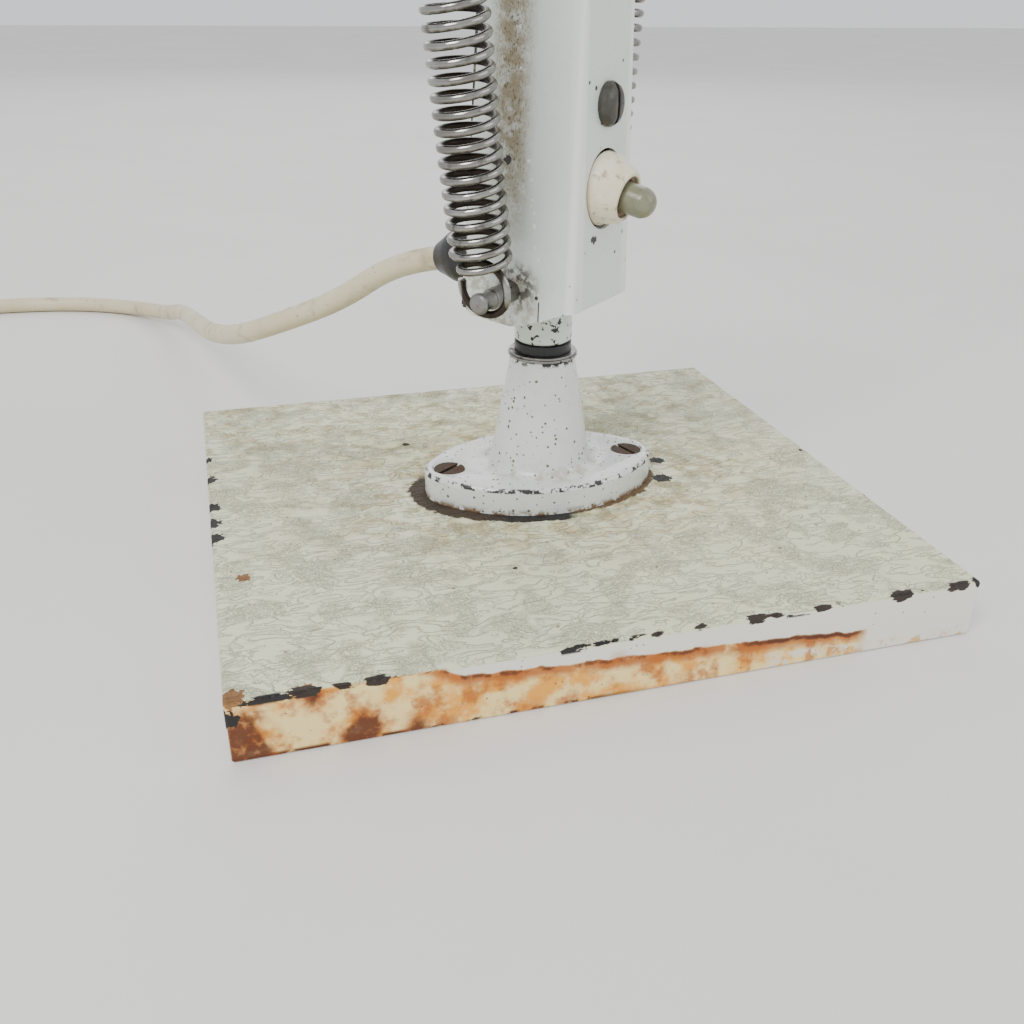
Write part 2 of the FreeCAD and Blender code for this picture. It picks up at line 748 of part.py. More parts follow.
def rear_cover():
    """Black U channel set into the open back of the pillar."""
    body = new_body("rear_cover", swivel_frame())

    def section(tag, end, inset, wall, reach):
        """One end of the channel's form or hollow, drawn in from the cheeks by an inset."""
        level, proud = end
        back = "%s + %s - (%s)" % (
            along_pillar("pillar_back_low", "pillar_back_high", level), proud, wall)
        return rectangle_sketch(body, tag, level, "%s - (%s)" % (half_width_at(level), inset),
                                "%s - (%s)" % (back, reach), back)
    low_end = ("cover_bottom", "cover_proud_low")
    high_end = (COVER_TOP, "cover_proud_high")
    side_gap = "sheet_thickness + assembly_gap"
    loft(body, "PartDesign::AdditiveLoft",
         section("OuterLow", low_end, side_gap, "0", "cover_leg"),
         section("OuterHigh", high_end, side_gap, "0", "cover_leg"), "ChannelForm")
    doc.recompute()
    inner_gap = side_gap + " + cover_thickness"
    beyond = "cover_leg + 5"
    loft(body, "PartDesign::SubtractiveLoft",
         section("InnerLow", low_end, inner_gap, "cover_thickness", beyond),
         section("InnerHigh", high_end, inner_gap, "cover_thickness", beyond), "ChannelHollow")
    backward = Rotation(X_AXIS, -90 - size("gland_droop"))
    bore(body, "gland_nose_radius + 0.5 + assembly_gap", "-5", "12", "GlandHole",
         Vector(0, size("gland_seat_back"), size("gland_height")), backward)
    return body


def pivot_block():
    """White collar and the block between the cheeks, bored to turn on the swivel bolt."""
    body = new_body("pivot_block", swivel_frame())
    sketch = new_sketch(body, "BlockOutline", "XY_Plane", "block_bottom")
    draw_polygon(sketch, [
        ("-block_width / 2", "-block_depth / 2"), ("block_width / 2", "-block_depth / 2"),
        ("block_width / 2", "block_depth / 2"), ("-block_width / 2", "block_depth / 2")])
    pad(body, sketch, "block_top - block_bottom", "Block")
    turn(body, [("0", COLLAR_LOW), ("collar_radius - 0.6", COLLAR_LOW),
                ("collar_radius", COLLAR_LOW + " + 0.6"), ("collar_radius", "block_bottom + 1"),
                ("0", "block_bottom + 1")], "Collar")
    doc.recompute()
    bore(body, "bolt_radius + running_fit", COLLAR_LOW + " - 1", "block_top + 1", "SwivelBore")
    for side in (-1, 1):
        place = Vector(0, size("lower_pin_back"), size("lower_pin_height"))
        turned = Rotation(Y_AXIS, 90 * side)
        bore(body, "pin_radius + 0.02", "block_width / 2 - 7", "block_width / 2 + 1", "PinHole",
             place, turned)
    return body


def spring_pin_shape(root, reach):
    """A grooved pin along X from root to just past reach, with a chamfered head."""
    radius = size("pin_radius")
    neck = size("pin_neck_radius")
    half = size("pin_neck_width") / 2
    tip = reach + half + size("pin_head_length")
    outline = [
        Vector(root, 0, 0), Vector(root, 0, radius), Vector(reach - half, 0, radius),
        Vector(reach - half + 0.5, 0, neck), Vector(reach + half - 0.5, 0, neck),
        Vector(reach + half, 0, radius), Vector(tip - 0.6, 0, radius),
        Vector(tip, 0, radius - 0.6), Vector(tip, 0, 0), Vector(root, 0, 0)]
    face = Part.Face(Part.makePolygon(outline))
    return face.revolve(Vector(0, 0, 0), X_AXIS, 360)


def both_sides(shape):
    """A shape and its mirror image across the YZ plane, as one compound."""
    return Part.makeCompound([shape, shape.mirror(Vector(0, 0, 0), X_AXIS)])


def spring_pins():
    """Two grooved pins that hold the lower hooks of the springs."""
    pin = spring_pin_shape(size("block_width / 2 - 6.5"), size("lower_pin_reach"))
    place = Placement(Vector(0, size("lower_pin_back"), size("lower_pin_height")), Rotation())
    return new_feature("spring_pins", both_sides(pin), swivel_frame() * place)


# Balance springs

def bisected(first, second):
    """Unit vector half way between two unit vectors."""
    return (first + second).normalize()


def arc_from_tangent(start, heading, finish):
    """The arc that leaves start along heading and ends at finish, with its end heading."""
    chord = finish - start
    length = chord.Length
    along = Vector(chord).normalize()
    turn_angle = heading.getAngle(along)
    if turn_angle < 1e-6:
        return Part.LineSegment(start, finish).toShape(), along
    to_middle = bisected(heading, along)
    middle = start + to_middle * (0.5 * length / math.cos(0.5 * turn_angle))
    leaving = along * (2 * along.dot(heading)) - heading
    return Part.Arc(start, middle, finish).toShape(), leaving


def biarc(start, heading, finish, leaving):
    """Two tangent arcs between two points with given headings."""
    chord = finish - start
    total = heading + leaving
    spread = 2 * (1 - heading.dot(leaving))
    reach = chord.dot(total)
    if spread < 1e-9:
        arm = chord.dot(chord) / (2 * reach)
    else:
        arm = (-reach + math.sqrt(reach ** 2 + spread * chord.dot(chord))) / spread
    middle = (start + finish + (heading - leaving) * arm) * 0.5
    first, turned = arc_from_tangent(start, heading, middle)
    second, last = arc_from_tangent(middle, turned, finish)
    return [first, second]


def tube_along(edges, radius):
    """A round tube along a chain of tangent edges, closed at both ends."""
    path = Part.Wire(edges)
    start = edges[0].valueAt(edges[0].FirstParameter)
    heading = edges[0].tangentAt(edges[0].FirstParameter)
    ring = Part.Wire(Part.Circle(start, heading, radius).toShape())
    shell = Part.BRepOffsetAPI.MakePipeShell(path)
    shell.add(ring)
    shell.build()
    shell.makeSolid()
    return shell.shape()


def least_self_gap(points, diameter, neighbours):
    """Least clear distance between parts of a tube's line that are not neighbours."""
    best = 1e9
    for i in range(0, len(points) - neighbours):
        for j in range(i + neighbours, len(points)):
            distance = points[i].distanceToPoint(points[j])
            if distance < best:
                best = distance
    return best - diameter


def sampled(edges, step):
    """Points along a chain of edges, a step apart."""
    points = []
    for edge in edges:
        count = max(2, int(edge.Length / step) + 1)
        for point in edge.discretize(Number=count)[:-1]:
            points.append(point)
    return points


def build_spring_line(length):
    """Centre line of the spring along Z, from the lower pin centre to the upper one."""
    radius = size("spring_mean_radius")
    hook = size("hook_radius")
    turns = int(size("spring_coils"))
    # Each loop hangs in its pin's groove, so its centre lies inside the pins' distance
    centre = hook - size("pin_neck_radius + wire_diameter / 2 + running_gap")
    first_level = centre + hook
    height = length - 2 * first_level
    rate = height / (2 * math.pi * turns)

    def coil(share):
        angle = 2 * math.pi * turns * share
        point = Vector(radius * math.cos(angle), radius * math.sin(angle),
                       first_level + height * share)
        heading = Vector(-radius * math.sin(angle), radius * math.cos(angle), rate).normalize()
        return point, heading

    def loop(degrees, level):
        angle = math.radians(degrees)
        return Vector(0, hook * math.sin(angle), level + hook * math.cos(angle))

    open_angle = 285.0
    line = []
    # Lower loop: ends at the spring's axis, above the pin, heading along -Y
    for first, last in ((open_angle, open_angle / 2), (open_angle / 2, 0.0)):
        line.append(Part.Arc(loop(first, centre), loop(0.5 * (first + last), centre),
                             loop(last, centre)).toShape())
    # Half coil of half the radius from the axis out to the first coil
    start, heading = coil(0.0)
    line += biarc(loop(0.0, centre), Vector(0, -1, 0), start, heading)
    # The coils, half a turn at a time
    steps = 2 * turns
    for i in range(steps):
        first, leaving = coil(i / steps)
        second, arriving = coil((i + 1) / steps)
        line += biarc(first, leaving, second, arriving)
    # Half coil back to the axis, and the upper loop about the lever's pin
    finish, heading = coil(1.0)
    upper = length - centre
    line += biarc(finish, heading, loop(180.0, upper), Vector(0, -1, 0))
    for first, last in ((180.0, 180.0 + open_angle / 2), (180.0 + open_angle / 2, 180.0 + open_angle)):
        line.append(Part.Arc(loop(first, upper), loop(0.5 * (first + last), upper),
                             loop(last, upper)).toShape())
    return line


def balance_springs():
    """Left and right springs between the pillar's pins and the rocker levers."""
    lean = math.radians(size("lever_lean"))
    arm = size("lever_length")
    shape = None
    for name, side in (("right_spring", 1), ("left_spring", -1)):
        low = Vector(side * size("lower_pin_reach"), size("lower_pin_back"),
                     size("lower_pin_height"))
        high = Vector(side * size("upper_pin_reach"),
                      size("shoulder_back") + arm * math.sin(lean),
                      size("shoulder_height") - arm * math.cos(lean))
        along = high - low
        if shape is None:
            line = build_spring_line(along.Length)
            gap = least_self_gap(sampled(line, 1.0), size("wire_diameter"), 9)
            print("spring: length %.2f, least gap between coils %.2f" % (along.Length, gap))
            shape = tube_along(line, size("wire_diameter") / 2)
        # Both springs are wound the same way; their loops open to the back
        turned = Rotation(Z_AXIS, along) * Rotation(Z_AXIS, 180)
        new_feature(name, shape, swivel_frame() * Placement(low, turned))


# Switch

def switch_frame():
    """Frame at the switch hole, Z outwards from the pillar's face and drooping a little."""
    height = size("switch_height")
    place = Vector(0, pillar_face("front", height), height)
    return swivel_frame() * Placement(place, Rotation(X_AXIS, 90 + size("switch_droop")))


BARREL = "switch_collar_radius - 1.2"


def switch_parts():
    """Moulded switch body, its nut and guide ring, and the push button."""
    turned_part("switch_housing", [
        ("0", "-switch_barrel_length"), (BARREL, "-switch_barrel_length"), (BARREL, "-2.6"),
        ("switch_collar_radius", "-2.2"),
        ("switch_collar_radius", "1.4"),
        ("switch_collar_radius - 0.7", "2.2"),
        ("switch_nose_radius + 0.5", "switch_nose_length - 0.9"),
        ("switch_nose_radius - 0.3", "switch_nose_length"),
        ("guide_radius + 0.02", "switch_nose_length"),
        ("guide_radius + 0.02", "-switch_barrel_length + 2"),
        ("0", "-switch_barrel_length + 2")], switch_frame())
    turned_part("switch_guide", [
        ("plunger_radius + running_fit", "-4"),
        ("guide_radius", "-4"),
        ("guide_radius", "switch_nose_length - 0.8"),
        ("plunger_radius + 0.6", "switch_nose_length - 0.8"),
        ("plunger_radius + running_fit", "switch_nose_length - 1.3")], switch_frame())
    plunger = new_body("push_button", switch_frame())
    sketch = new_sketch(plunger, "ButtonOutline", "XY_Plane", "-3.5")
    draw_circle(sketch, ("0", "0"), "plunger_radius")
    stem = pad(plunger, sketch, "plunger_reach + 3.5", "Stem")
    doc.recompute()
    tip = size("plunger_reach")
    round_edges(plunger, stem, "plunger_radius - 0.05",
                lambda edge: edge.BoundBox.ZMin > tip - 0.01, "RoundTip")
    nut = new_body("switch_nut", switch_frame())
    outline = new_sketch(nut, "NutOutline", "XY_Plane", "-5.6 - switch_nut_thickness")
    draw_polygon(outline, hexagon("switch_nut_radius"))
    draw_circle(outline, ("0", "0"), BARREL + " + running_fit")
    pad(nut, outline, "switch_nut_thickness", "Nut")


def front_screw_parts():
    """Domed slotted screw in the front wall and the strap that it holds inside."""
    height = size("front_screw_height")
    place = face_frame(height)
    screw = new_body("front_screw", place)
    turn(screw, [
        ("0", "-5.5"), ("front_screw_shank_radius", "-5.5"), ("front_screw_shank_radius", "0"),
        ("front_screw_head_radius", "0"), ("front_screw_head_radius", "1.0"),
        ("front_screw_head_radius - 0.8", "front_screw_head_height - 0.9"),
        ("front_screw_head_radius - 2.2", "front_screw_head_height - 0.2"),
        ("0", "front_screw_head_height")], "Screw")
    slot = new_sketch(screw, "SlotOutline", "XY_Plane", "front_screw_head_height + 1")
    draw_polygon(slot, [("-0.6", "-front_screw_head_radius - 1"),
                        ("0.6", "-front_screw_head_radius - 1"),
                        ("0.6", "front_screw_head_radius + 1"),
                        ("-0.6", "front_screw_head_radius + 1")])
    pocket(screw, slot, "2.6", "Slot")
    strap = new_body("switch_strap", place)
    outline = new_sketch(strap, "StrapOutline", "XY_Plane", "-sheet_thickness - assembly_gap")
    low = "switch_height - front_screw_height - 11.5"
    draw_polygon(outline, [
        ("-strap_width / 2", low), ("strap_width / 2", low),
        ("strap_width / 2", "6"), ("-strap_width / 2", "6")])
    pad(strap, outline, "strap_thickness", "Strap", backward=True)
    bore(strap, "front_screw_shank_radius + assembly_gap", "-5", "5", "ScrewHole")
    drop = size("switch_height - front_screw_height") / math.cos(math.radians(wall_lean()))
    bore(strap, "switch_collar_radius + 0.4", "-8", "5", "SwitchHole", Vector(0, drop, 0),
         Rotation(X_AXIS, size("switch_droop") + wall_lean()))


# Mains cord

def gland_frame():
    """Frame at the gland's seat in the rear cover, Z backwards and a little down."""
    place = Vector(0, size("gland_seat_back"), size("gland_height"))
    return swivel_frame() * Placement(place, Rotation(X_AXIS, -90 - size("gland_droop")))


def cord_gland():
    """Tapered rubber strain relief with a bead that seats against the cover."""
    return turned_part("cord_gland", [
        ("0", "-3.5"), ("gland_nose_radius + 2", "-3.5"), ("gland_nose_radius + 2", "-1.0"),
        ("gland_nose_radius + 0.5", "-0.8"), ("gland_nose_radius + 0.5", "4.0"),
        ("gland_body_radius - 0.9", "4.2"), ("gland_body_radius", "6.0"),
        ("gland_body_radius", "12.5"), ("gland_body_radius - 1.0", "15.5"),
        ("gland_nose_radius + 0.6", "18.5"), ("gland_nose_radius - 0.6", "gland_length"),
        ("0", "gland_length")], gland_frame())


def coil_start():
    """Point where the cord on the floor runs into the coil."""
    return Vector(size("coil_centre_x"), size("coil_centre_y") + outer_coil_radius(), cord_radius())


def coil_entry():
    """Face where the cord on the floor meets the coil, one diameter before the first turn."""
    return coil_start() + Vector(size("cord_diameter"), 0, 0)


def cord_radius():
    """Half of the cord's diameter."""
    return size("cord_diameter") / 2


COIL_TURNS_IN = 2.5
COIL_TURNS_OUT = 2.25
COIL_CLIMB = 0.5


def outer_coil_radius():
    """Radius of the coil's centre line where the cord enters it."""
    return size("coil_mean_radius") + 0.5 * COIL_TURNS_IN * size("coil_pitch")


def cord_route():
    """Points that the cord's centre line follows from the gland to the coil, chosen by eye."""
    exit_point = gland_frame().multVec(Vector(0, 0, size("gland_length")))
    ahead = gland_frame().multVec(Vector(0, 0, size("gland_length") + 17))
    rest = cord_radius()
    return [
        exit_point,
        ahead,
        Vector(-50.0, 52.5, 62.0),
        Vector(-68.5, 64.5, 52.5),
        Vector(-82.5, 87.0, 42.0),
        Vector(-91.5, 122.0, 33.0),
        Vector(-96.5, 162.0, 26.0),
        Vector(-103.5, 203.0, 19.5),
        Vector(-110.5, 243.0, 7.5),
        Vector(-127.0, 271.0, rest),
        Vector(-156.0, 286.0, rest),
        Vector(-191.0, 290.5, rest),
        coil_entry() + Vector(19, 0, 0),
        coil_entry()]


def rounded_route(points, label):
    """Straight runs joined by tangent arcs as large as the runs allow."""
    edges = []
    start = points[0]
    radii = []
    for i in range(1, len(points) - 1):
        into = (points[i] - points[i - 1])
        out = (points[i + 1] - points[i])
        shorter = min(into.Length, out.Length)
        into.normalize()
        out.normalize()
        angle = into.getAngle(out)
        trim = 0.45 * shorter
        radii.append(trim / math.tan(angle / 2))
        before = points[i] - into * trim
        after = points[i] + out * trim
        middle_way = Vector(out - into).normalize()
        centre = points[i] + middle_way * (radii[-1] / math.cos(angle / 2))
        middle = centre - middle_way * radii[-1]
        edges.append(Part.LineSegment(start, before).toShape())
        edges.append(Part.Arc(before, middle, after).toShape())
        start = after
    edges.append(Part.LineSegment(start, points[-1]).toShape())
    print("%s: arc radii %s" % (label, ", ".join("%.0f" % value for value in radii)))
    return edges


def supply_cord():
    """Free stretch of the mains cord from the gland to the coil."""
    edges = rounded_route(cord_route(), "supply cord")
    length = sum(edge.Length for edge in edges)
    shape = tube_along(edges, cord_radius())
    ideal = math.pi * cord_radius() ** 2 * length
    print("supply cord: length %.1f, volume over section times length %.4f"
          % (length, shape.Volume / ideal))
    new_feature("supply_cord", shape)
    return length


def cord_coil():
    """Put-away length: a flat coil in two layers, spiralling in below and out above."""
    rise = size("coil_pitch")
    pitch = size("coil_pitch")
    centre = Vector(size("coil_centre_x"), size("coil_centre_y"), 0)
    turns = COIL_TURNS_IN + COIL_CLIMB + COIL_TURNS_OUT
    inner = outer_coil_radius() - COIL_TURNS_IN * pitch

    def spot(turn_count):
        angle = math.radians(90) + 2 * math.pi * turn_count
        if turn_count <= COIL_TURNS_IN:
            radius, growth, level, slope = (
                outer_coil_radius() - pitch * turn_count, -pitch, cord_radius(), 0.0)
        elif turn_count <= COIL_TURNS_IN + COIL_CLIMB:
            share = (turn_count - COIL_TURNS_IN) / COIL_CLIMB
            dip = pitch * COIL_CLIMB / math.pi
            radius = inner - dip * math.sin(math.pi * share)
            growth = -pitch * math.cos(math.pi * share)
            level = cord_radius() + rise * share ** 2 * (3 - 2 * share)
            slope = rise * 6 * share * (1 - share) / COIL_CLIMB
        else:
            done = turn_count - COIL_TURNS_IN - COIL_CLIMB
            radius, growth, level, slope = (
                inner + pitch * done, pitch, cord_radius() + rise, 0.0)
        point = centre + Vector(radius * math.cos(angle), radius * math.sin(angle), level)
        rate = 1 / (2 * math.pi)
        heading = Vector(
            growth * rate * math.cos(angle) - radius * math.sin(angle),
            growth * rate * math.sin(angle) + radius * math.cos(angle),
            slope * rate).normalize()
        return point, heading

    edges = []
    start = spot(0)[0]
    steps = int(round(turns * 4))
    leaving = Vector(-1, 0, 0)
    edges.append(Part.LineSegment(coil_entry(), start).toShape())
    for i in range(steps):
        first, first_heading = spot(i / 4.0)
        if i == 0:
            first_heading = leaving
        second, second_heading = spot((i + 1) / 4.0)
        edges += biarc(first, first_heading, second, second_heading)
    last, last_heading = spot(turns)
    tail = last + last_heading * size("plug_lead")
    edges.append(Part.LineSegment(last, tail).toShape())
    length = sum(edge.Length for edge in edges)
    gap = least_self_gap(sampled(edges, 4.0), size("cord_diameter"), 12)
    print("cord coil: length %.1f, least gap between turns %.2f" % (length, gap))
    shape = tube_along(edges, cord_radius())
    new_feature("cord_coil", shape)
    return length, tail, last_heading


def plug_parts(tail, heading):
    """Two-pin plug lying on the floor at the end of the coil's tail."""
    flat = Vector(heading.x, heading.y, 0).normalize()
    width_axis = Z_AXIS.cross(flat)
    frame = FreeCAD.Matrix(
        width_axis.x, Z_AXIS.x, flat.x, tail.x,
        width_axis.y, Z_AXIS.y, flat.y, tail.y,
        width_axis.z, Z_AXIS.z, flat.z, tail.z,
        0, 0, 0, 1)
    place = Placement(frame)
    body = new_body("plug_body", place)
    turn(body, [
        ("0", "0"), ("cord_diameter / 2 + 1.2", "0"),
        ("cord_diameter / 2 + 2.6", "plug_neck_length"),
        ("0", "plug_neck_length")], "Neck")
    outline = new_sketch(body, "PlugOutline", "XY_Plane", "plug_neck_length - 1")
    draw_polygon(outline, [
        ("-plug_width / 2", "-plug_height / 2"), ("plug_width / 2", "-plug_height / 2"),
        ("plug_width / 2", "plug_height / 2"), ("-plug_width / 2", "plug_height / 2")])
    block = pad(body, outline, "plug_length", "Block")
    doc.recompute()
    rounded = round_edges(body, block, "plug_corner_radius", lambda edge: (
        straight_edge_along(edge, Z_AXIS) and edge.Length > 20), "Sides")
    doc.recompute()
    back = size("plug_neck_length") - 1

    def back_rim(edge):
        box = edge.BoundBox
        return abs(box.ZMin - back) < 0.01 and abs(box.ZMax - back) < 0.01 and \
            max(abs(box.XMin), abs(box.XMax)) > 8
    round_edges(body, rounded, "plug_corner_radius - 1", back_rim, "Shoulder")
    front = size("plug_neck_length + plug_length") - 1
    pins = []
    for side in (-1, 1):
        radius = size("plug_pin_radius")
        length = size("plug_pin_length")
        spot = Vector(side * size("plug_pin_spacing") / 2, 0, front)
        pin = Part.makeCylinder(radius, length - radius, spot)
        tip = Part.makeSphere(radius, spot + Vector(0, 0, length - radius))
        pins.append(pin.fuse(tip).removeSplitter())
    new_feature("plug_pins", Part.makeCompound(pins), place)


# Lower arm with its rocker

def x_turned(shape_corners):
    """Solid turned about X from (radius, x) corners."""
    outline = [Vector(x, 0, r) for r, x in shape_corners]
    outline.append(outline[0])
    return Part.Face(Part.makePolygon(outline)).revolve(Vector(0, 0, 0), X_AXIS, 360)


def shoulder_parts():
    """Bushes in the cheeks, rock shaft, spacers, levers, lever pins and nuts."""
    axis = shoulder_frame(0.0)
    arm = lower_arm_frame()
    cheek = pillar_half_width(size("shoulder_height"))
    wall = size("sheet_thickness")
    shaft = size("shaft_radius")
    fit = size("running_fit")
    barrel = shaft + fit + 1.2
    flange = size("shoulder_bush_flange")
    inner_face = pillar_half_width(size("shoulder_height + cheek_top_radius"), wall) - 0.05
    bush = x_turned([
        (shaft + fit, inner_face - flange), (barrel + 2.0, inner_face - flange),
        (barrel + 2.0, inner_face), (barrel, inner_face), (barrel, cheek + 0.6),
        (shaft + fit, cheek + 0.6)])
    new_feature("shoulder_bushes", both_sides(bush), axis)
    outer = size("lever_outer_face")
    thick = size("lever_thickness")
    seat = shaft - 1.0
    end = outer + 7.5
    new_feature("shoulder_shaft", x_turned([
        (0, -end), (seat - 0.5, -end), (seat, -end + 0.5), (seat, -outer + thick),
        (shaft, -outer + thick), (shaft, outer - thick), (seat, outer - thick),
        (seat, end - 0.5), (seat - 0.5, end), (0, end)]), arm)
    spacer = x_turned([
        (shaft + size("assembly_gap"), cheek + 0.6 + size("running_gap")),
        (shaft + 2.2, cheek + 0.6 + size("running_gap")),
        (shaft + 2.2, outer - thick - 0.02), (shaft + size("assembly_gap"), outer - thick - 0.02)])
    new_feature("shaft_spacers", both_sides(spacer), arm)
    for name, side in (("right_lever", 1), ("left_lever", -1)):
        body = new_body(name, shoulder_frame(size("lever_lean")))
        low = "-lever_length"
        offset = "lever_outer_face - lever_thickness" if side > 0 else "-lever_outer_face"
        sketch = new_sketch(body, "LeverOutline", "YZ_Plane", offset)
        draw_link(sketch, low, "0", "lever_width / 2 - 1", "lever_width / 2 + 1")
        pad(body, sketch, "lever_thickness", "Bar")
        doc.recompute()
        sideways = Rotation(Y_AXIS, 90)
        bore(body, "shaft_radius - 1 + assembly_gap", "-lever_outer_face - 5",
             "lever_outer_face + 5", "ShaftHole", Vector(0, 0, 0), sideways)
        bore(body, "pin_radius - 0.5 + assembly_gap", "-lever_outer_face - 5",
             "lever_outer_face + 5", "PinHole", Vector(0, 0, -size("lever_length")), sideways)
    reach = size("upper_pin_reach")
    pin = spring_pin_shape(outer, reach)
    stem = Part.makeCylinder(size("pin_radius") - 0.5, thick + 1.5,
                             Vector(outer - thick - 1.0, 0, 0), X_AXIS)
    pin = pin.fuse(stem).removeSplitter()
    pin_place = shoulder_frame(size("lever_lean")) * Placement(
        Vector(0, 0, -size("lever_length")), Rotation())
    new_feature("lever_pins", both_sides(pin), pin_place)
    nut = Part.Face(Part.makePolygon([
        Vector(outer, 7.0 * math.cos(math.radians(60 * i)), 7.0 * math.sin(math.radians(60 * i)))
        for i in range(7)])).extrude(Vector(5.0, 0, 0))
    hole = Part.makeCylinder(seat + size("assembly_gap"), 7.0, Vector(outer - 1, 0, 0), X_AXIS)
    new_feature("shaft_nuts", both_sides(nut.cut(hole)), arm)


def knuckle_with_socket(name, placement, half_width, radius, hole, neck_start, tube_outer):
    """Pivot eye with a neck and a socket that holds the end of an arm tube."""
    body = new_body(name, placement)
    eye = new_sketch(body, "EyeOutline", "YZ_Plane")
    draw_circle(eye, ("0", "0"), radius)
    pad(body, eye, "2 * (%s)" % half_width, "Eye", both_ways=True)
    doc.recompute()
    outer = "%s + socket_wall" % tube_outer
    neck = new_sketch(body, "NeckOutline", "XY_Plane")
    draw_circle(neck, ("0", "0"), "(%s) - 1.2" % half_width)
    pad(body, neck, neck_start, "Neck")
    turn(body, [("0", neck_start + " - 2"), ("(%s) - 1.2" % half_width, neck_start + " - 2"),
                (outer, neck_start), (outer, neck_start + " + socket_depth"),
                (outer + " - 0.6", neck_start + " + socket_depth + 0.6"),
                ("0", neck_start + " + socket_depth + 0.6")], "Socket")
    doc.recompute()
    bore(body, tube_outer + " + 0.02", neck_start + " + 1.5", neck_start + " + socket_depth + 2",
         "TubeSocket")
    bore(body, hole, "-(%s) - 1" % half_width, "(%s) + 1" % half_width, "PivotBore",
         Vector(0, 0, 0), Rotation(Y_AXIS, 90))
    return body


def tube_part(name, placement, outer, wall, low, high):
    """A plain round arm tube along Z."""
    return turned_part(name, [
        ("%s - %s" % (outer, wall), low), (outer, low), (outer, high),
        ("%s - %s" % (outer, wall), high)], placement)


def lower_arm():
    """Knuckle on the rock shaft, arm tube and the elbow fork."""
    frame = lower_arm_frame()
    knuckle_with_socket("shoulder_knuckle", frame, "knuckle_half_width", "knuckle_radius",
                        "shaft_radius + 0.02", "lower_neck", "tube_radius - 0.6")
    tube_part("lower_tube", frame, "tube_radius - 0.6", "tube_wall",
              "lower_neck + 1.6", "lower_length - fork_neck - 0.1")
    elbow = frame * Placement(Vector(0, 0, size("lower_length")), Rotation())
    fork = new_body("elbow_fork", elbow)
    side = new_sketch(fork, "ForkSide", "YZ_Plane")
    draw_link(side, "-fork_neck + 16", "0", "fork_radius - 0.5", "fork_radius")
    pad(fork, side, "2 * fork_half_width", "ForkBlock", both_ways=True)
    doc.recompute()
    slot = new_sketch(fork, "SlotOutline", "XZ_Plane")
    inner = "fork_half_width - fork_cheek"
    floor = "-fork_neck + 19"
    above = "fork_radius + 5"
    draw_polygon(slot, [("-(%s)" % inner, floor), (inner, floor), (inner, above),
                        ("-(%s)" % inner, above)])
    pocket(fork, slot, "4 * fork_radius", "Slot", both_ways=True)
    mouth = "-fork_neck - socket_depth"
    turn(fork, [("0", mouth), ("tube_radius + 1", mouth),
                ("tube_radius + 1", "-fork_neck + 6"), ("tube_radius + 2.2", "-fork_neck + 12"),
                ("0", "-fork_neck + 12")], "Socket")
    doc.recompute()
    bore(fork, "tube_radius - 0.6 + 0.02", mouth + " - 2", "-fork_neck", "TubeSocket")
    bore(fork, "elbow_bolt_radius + assembly_gap", "-fork_half_width - 1", "fork_half_width + 1",
         "BoltHole", Vector(0, 0, 0), Rotation(Y_AXIS, 90))
    half = size("fork_half_width")
    radius = size("elbow_bolt_radius")
    head = 7.5
    bolt = x_turned([
        (0, -half - 5.0), (head - 2.0, -half - 4.6), (head, -half - 3.0), (head, -half),
        (radius, -half), (radius, half + 9.0), (0, half + 9.0)])
    new_feature("elbow_bolt", bolt, elbow)
    washer = x_turned([
        (radius + 0.1, half), (radius + 5.5, half), (radius + 5.5, half + 1.2),
        (radius + 0.1, half + 1.2)])
    new_feature("elbow_washer", washer, elbow)
    knob_place = elbow * Placement(Vector(half + 1.2, 0, 0), Rotation(Y_AXIS, 90))
    knob = new_body("elbow_knob", knob_place)
    turn(knob, [("elbow_bolt_radius + 0.05", "0"), ("knob_radius * 0.55", "0"),
                ("knob_radius * 0.6", "2"), ("knob_radius - 1", "3.5"), ("knob_radius", "5"),
                ("knob_radius", "knob_height - 2.5"), ("knob_radius - 2.5", "knob_height"),
                ("0", "knob_height"), ("0", "9"), ("elbow_bolt_radius + 0.05", "9")], "Knob")
    flutes = 8
    for i in range(flutes):
        angle = 2 * math.pi * (i + 0.5) / flutes
        reach = size("knob_radius") + 2.6
        bore(knob, "4.2", "2.6", "knob_height + 1", "Flute",
             Vector(reach * math.cos(angle), reach * math.sin(angle), 0))


def upper_arm():
    """Elbow tongue, arm tube and the wrist socket."""
    frame = upper_arm_frame()
    knuckle_with_socket("elbow_tongue", frame, "fork_half_width - fork_cheek - running_gap",
                        "fork_radius - 1", "elbow_bolt_radius + running_fit", "upper_neck",
                        "upper_tube_radius")
    seat = "upper_length - wrist_socket_length"
    tube_part("upper_tube", frame, "upper_tube_radius", "tube_wall", "upper_neck + 1.6", seat)
    turned_part("wrist_socket", [
        ("stem_radius + running_fit", seat + " - 8"),
        ("upper_tube_radius - tube_wall - 0.05", seat + " - 8"),
        ("upper_tube_radius - tube_wall - 0.05", seat + " + 0.1"),
        ("upper_tube_radius + 2", seat + " + 0.1"),
        ("upper_tube_radius + 2.4", seat + " + 4"),
        ("upper_tube_radius + 2.4", "upper_length - 2"),
        ("upper_tube_radius + 1.4", "upper_length - 0.3"),
        ("stem_radius + running_fit", "upper_length - 0.3")], frame)


# Yoke and head

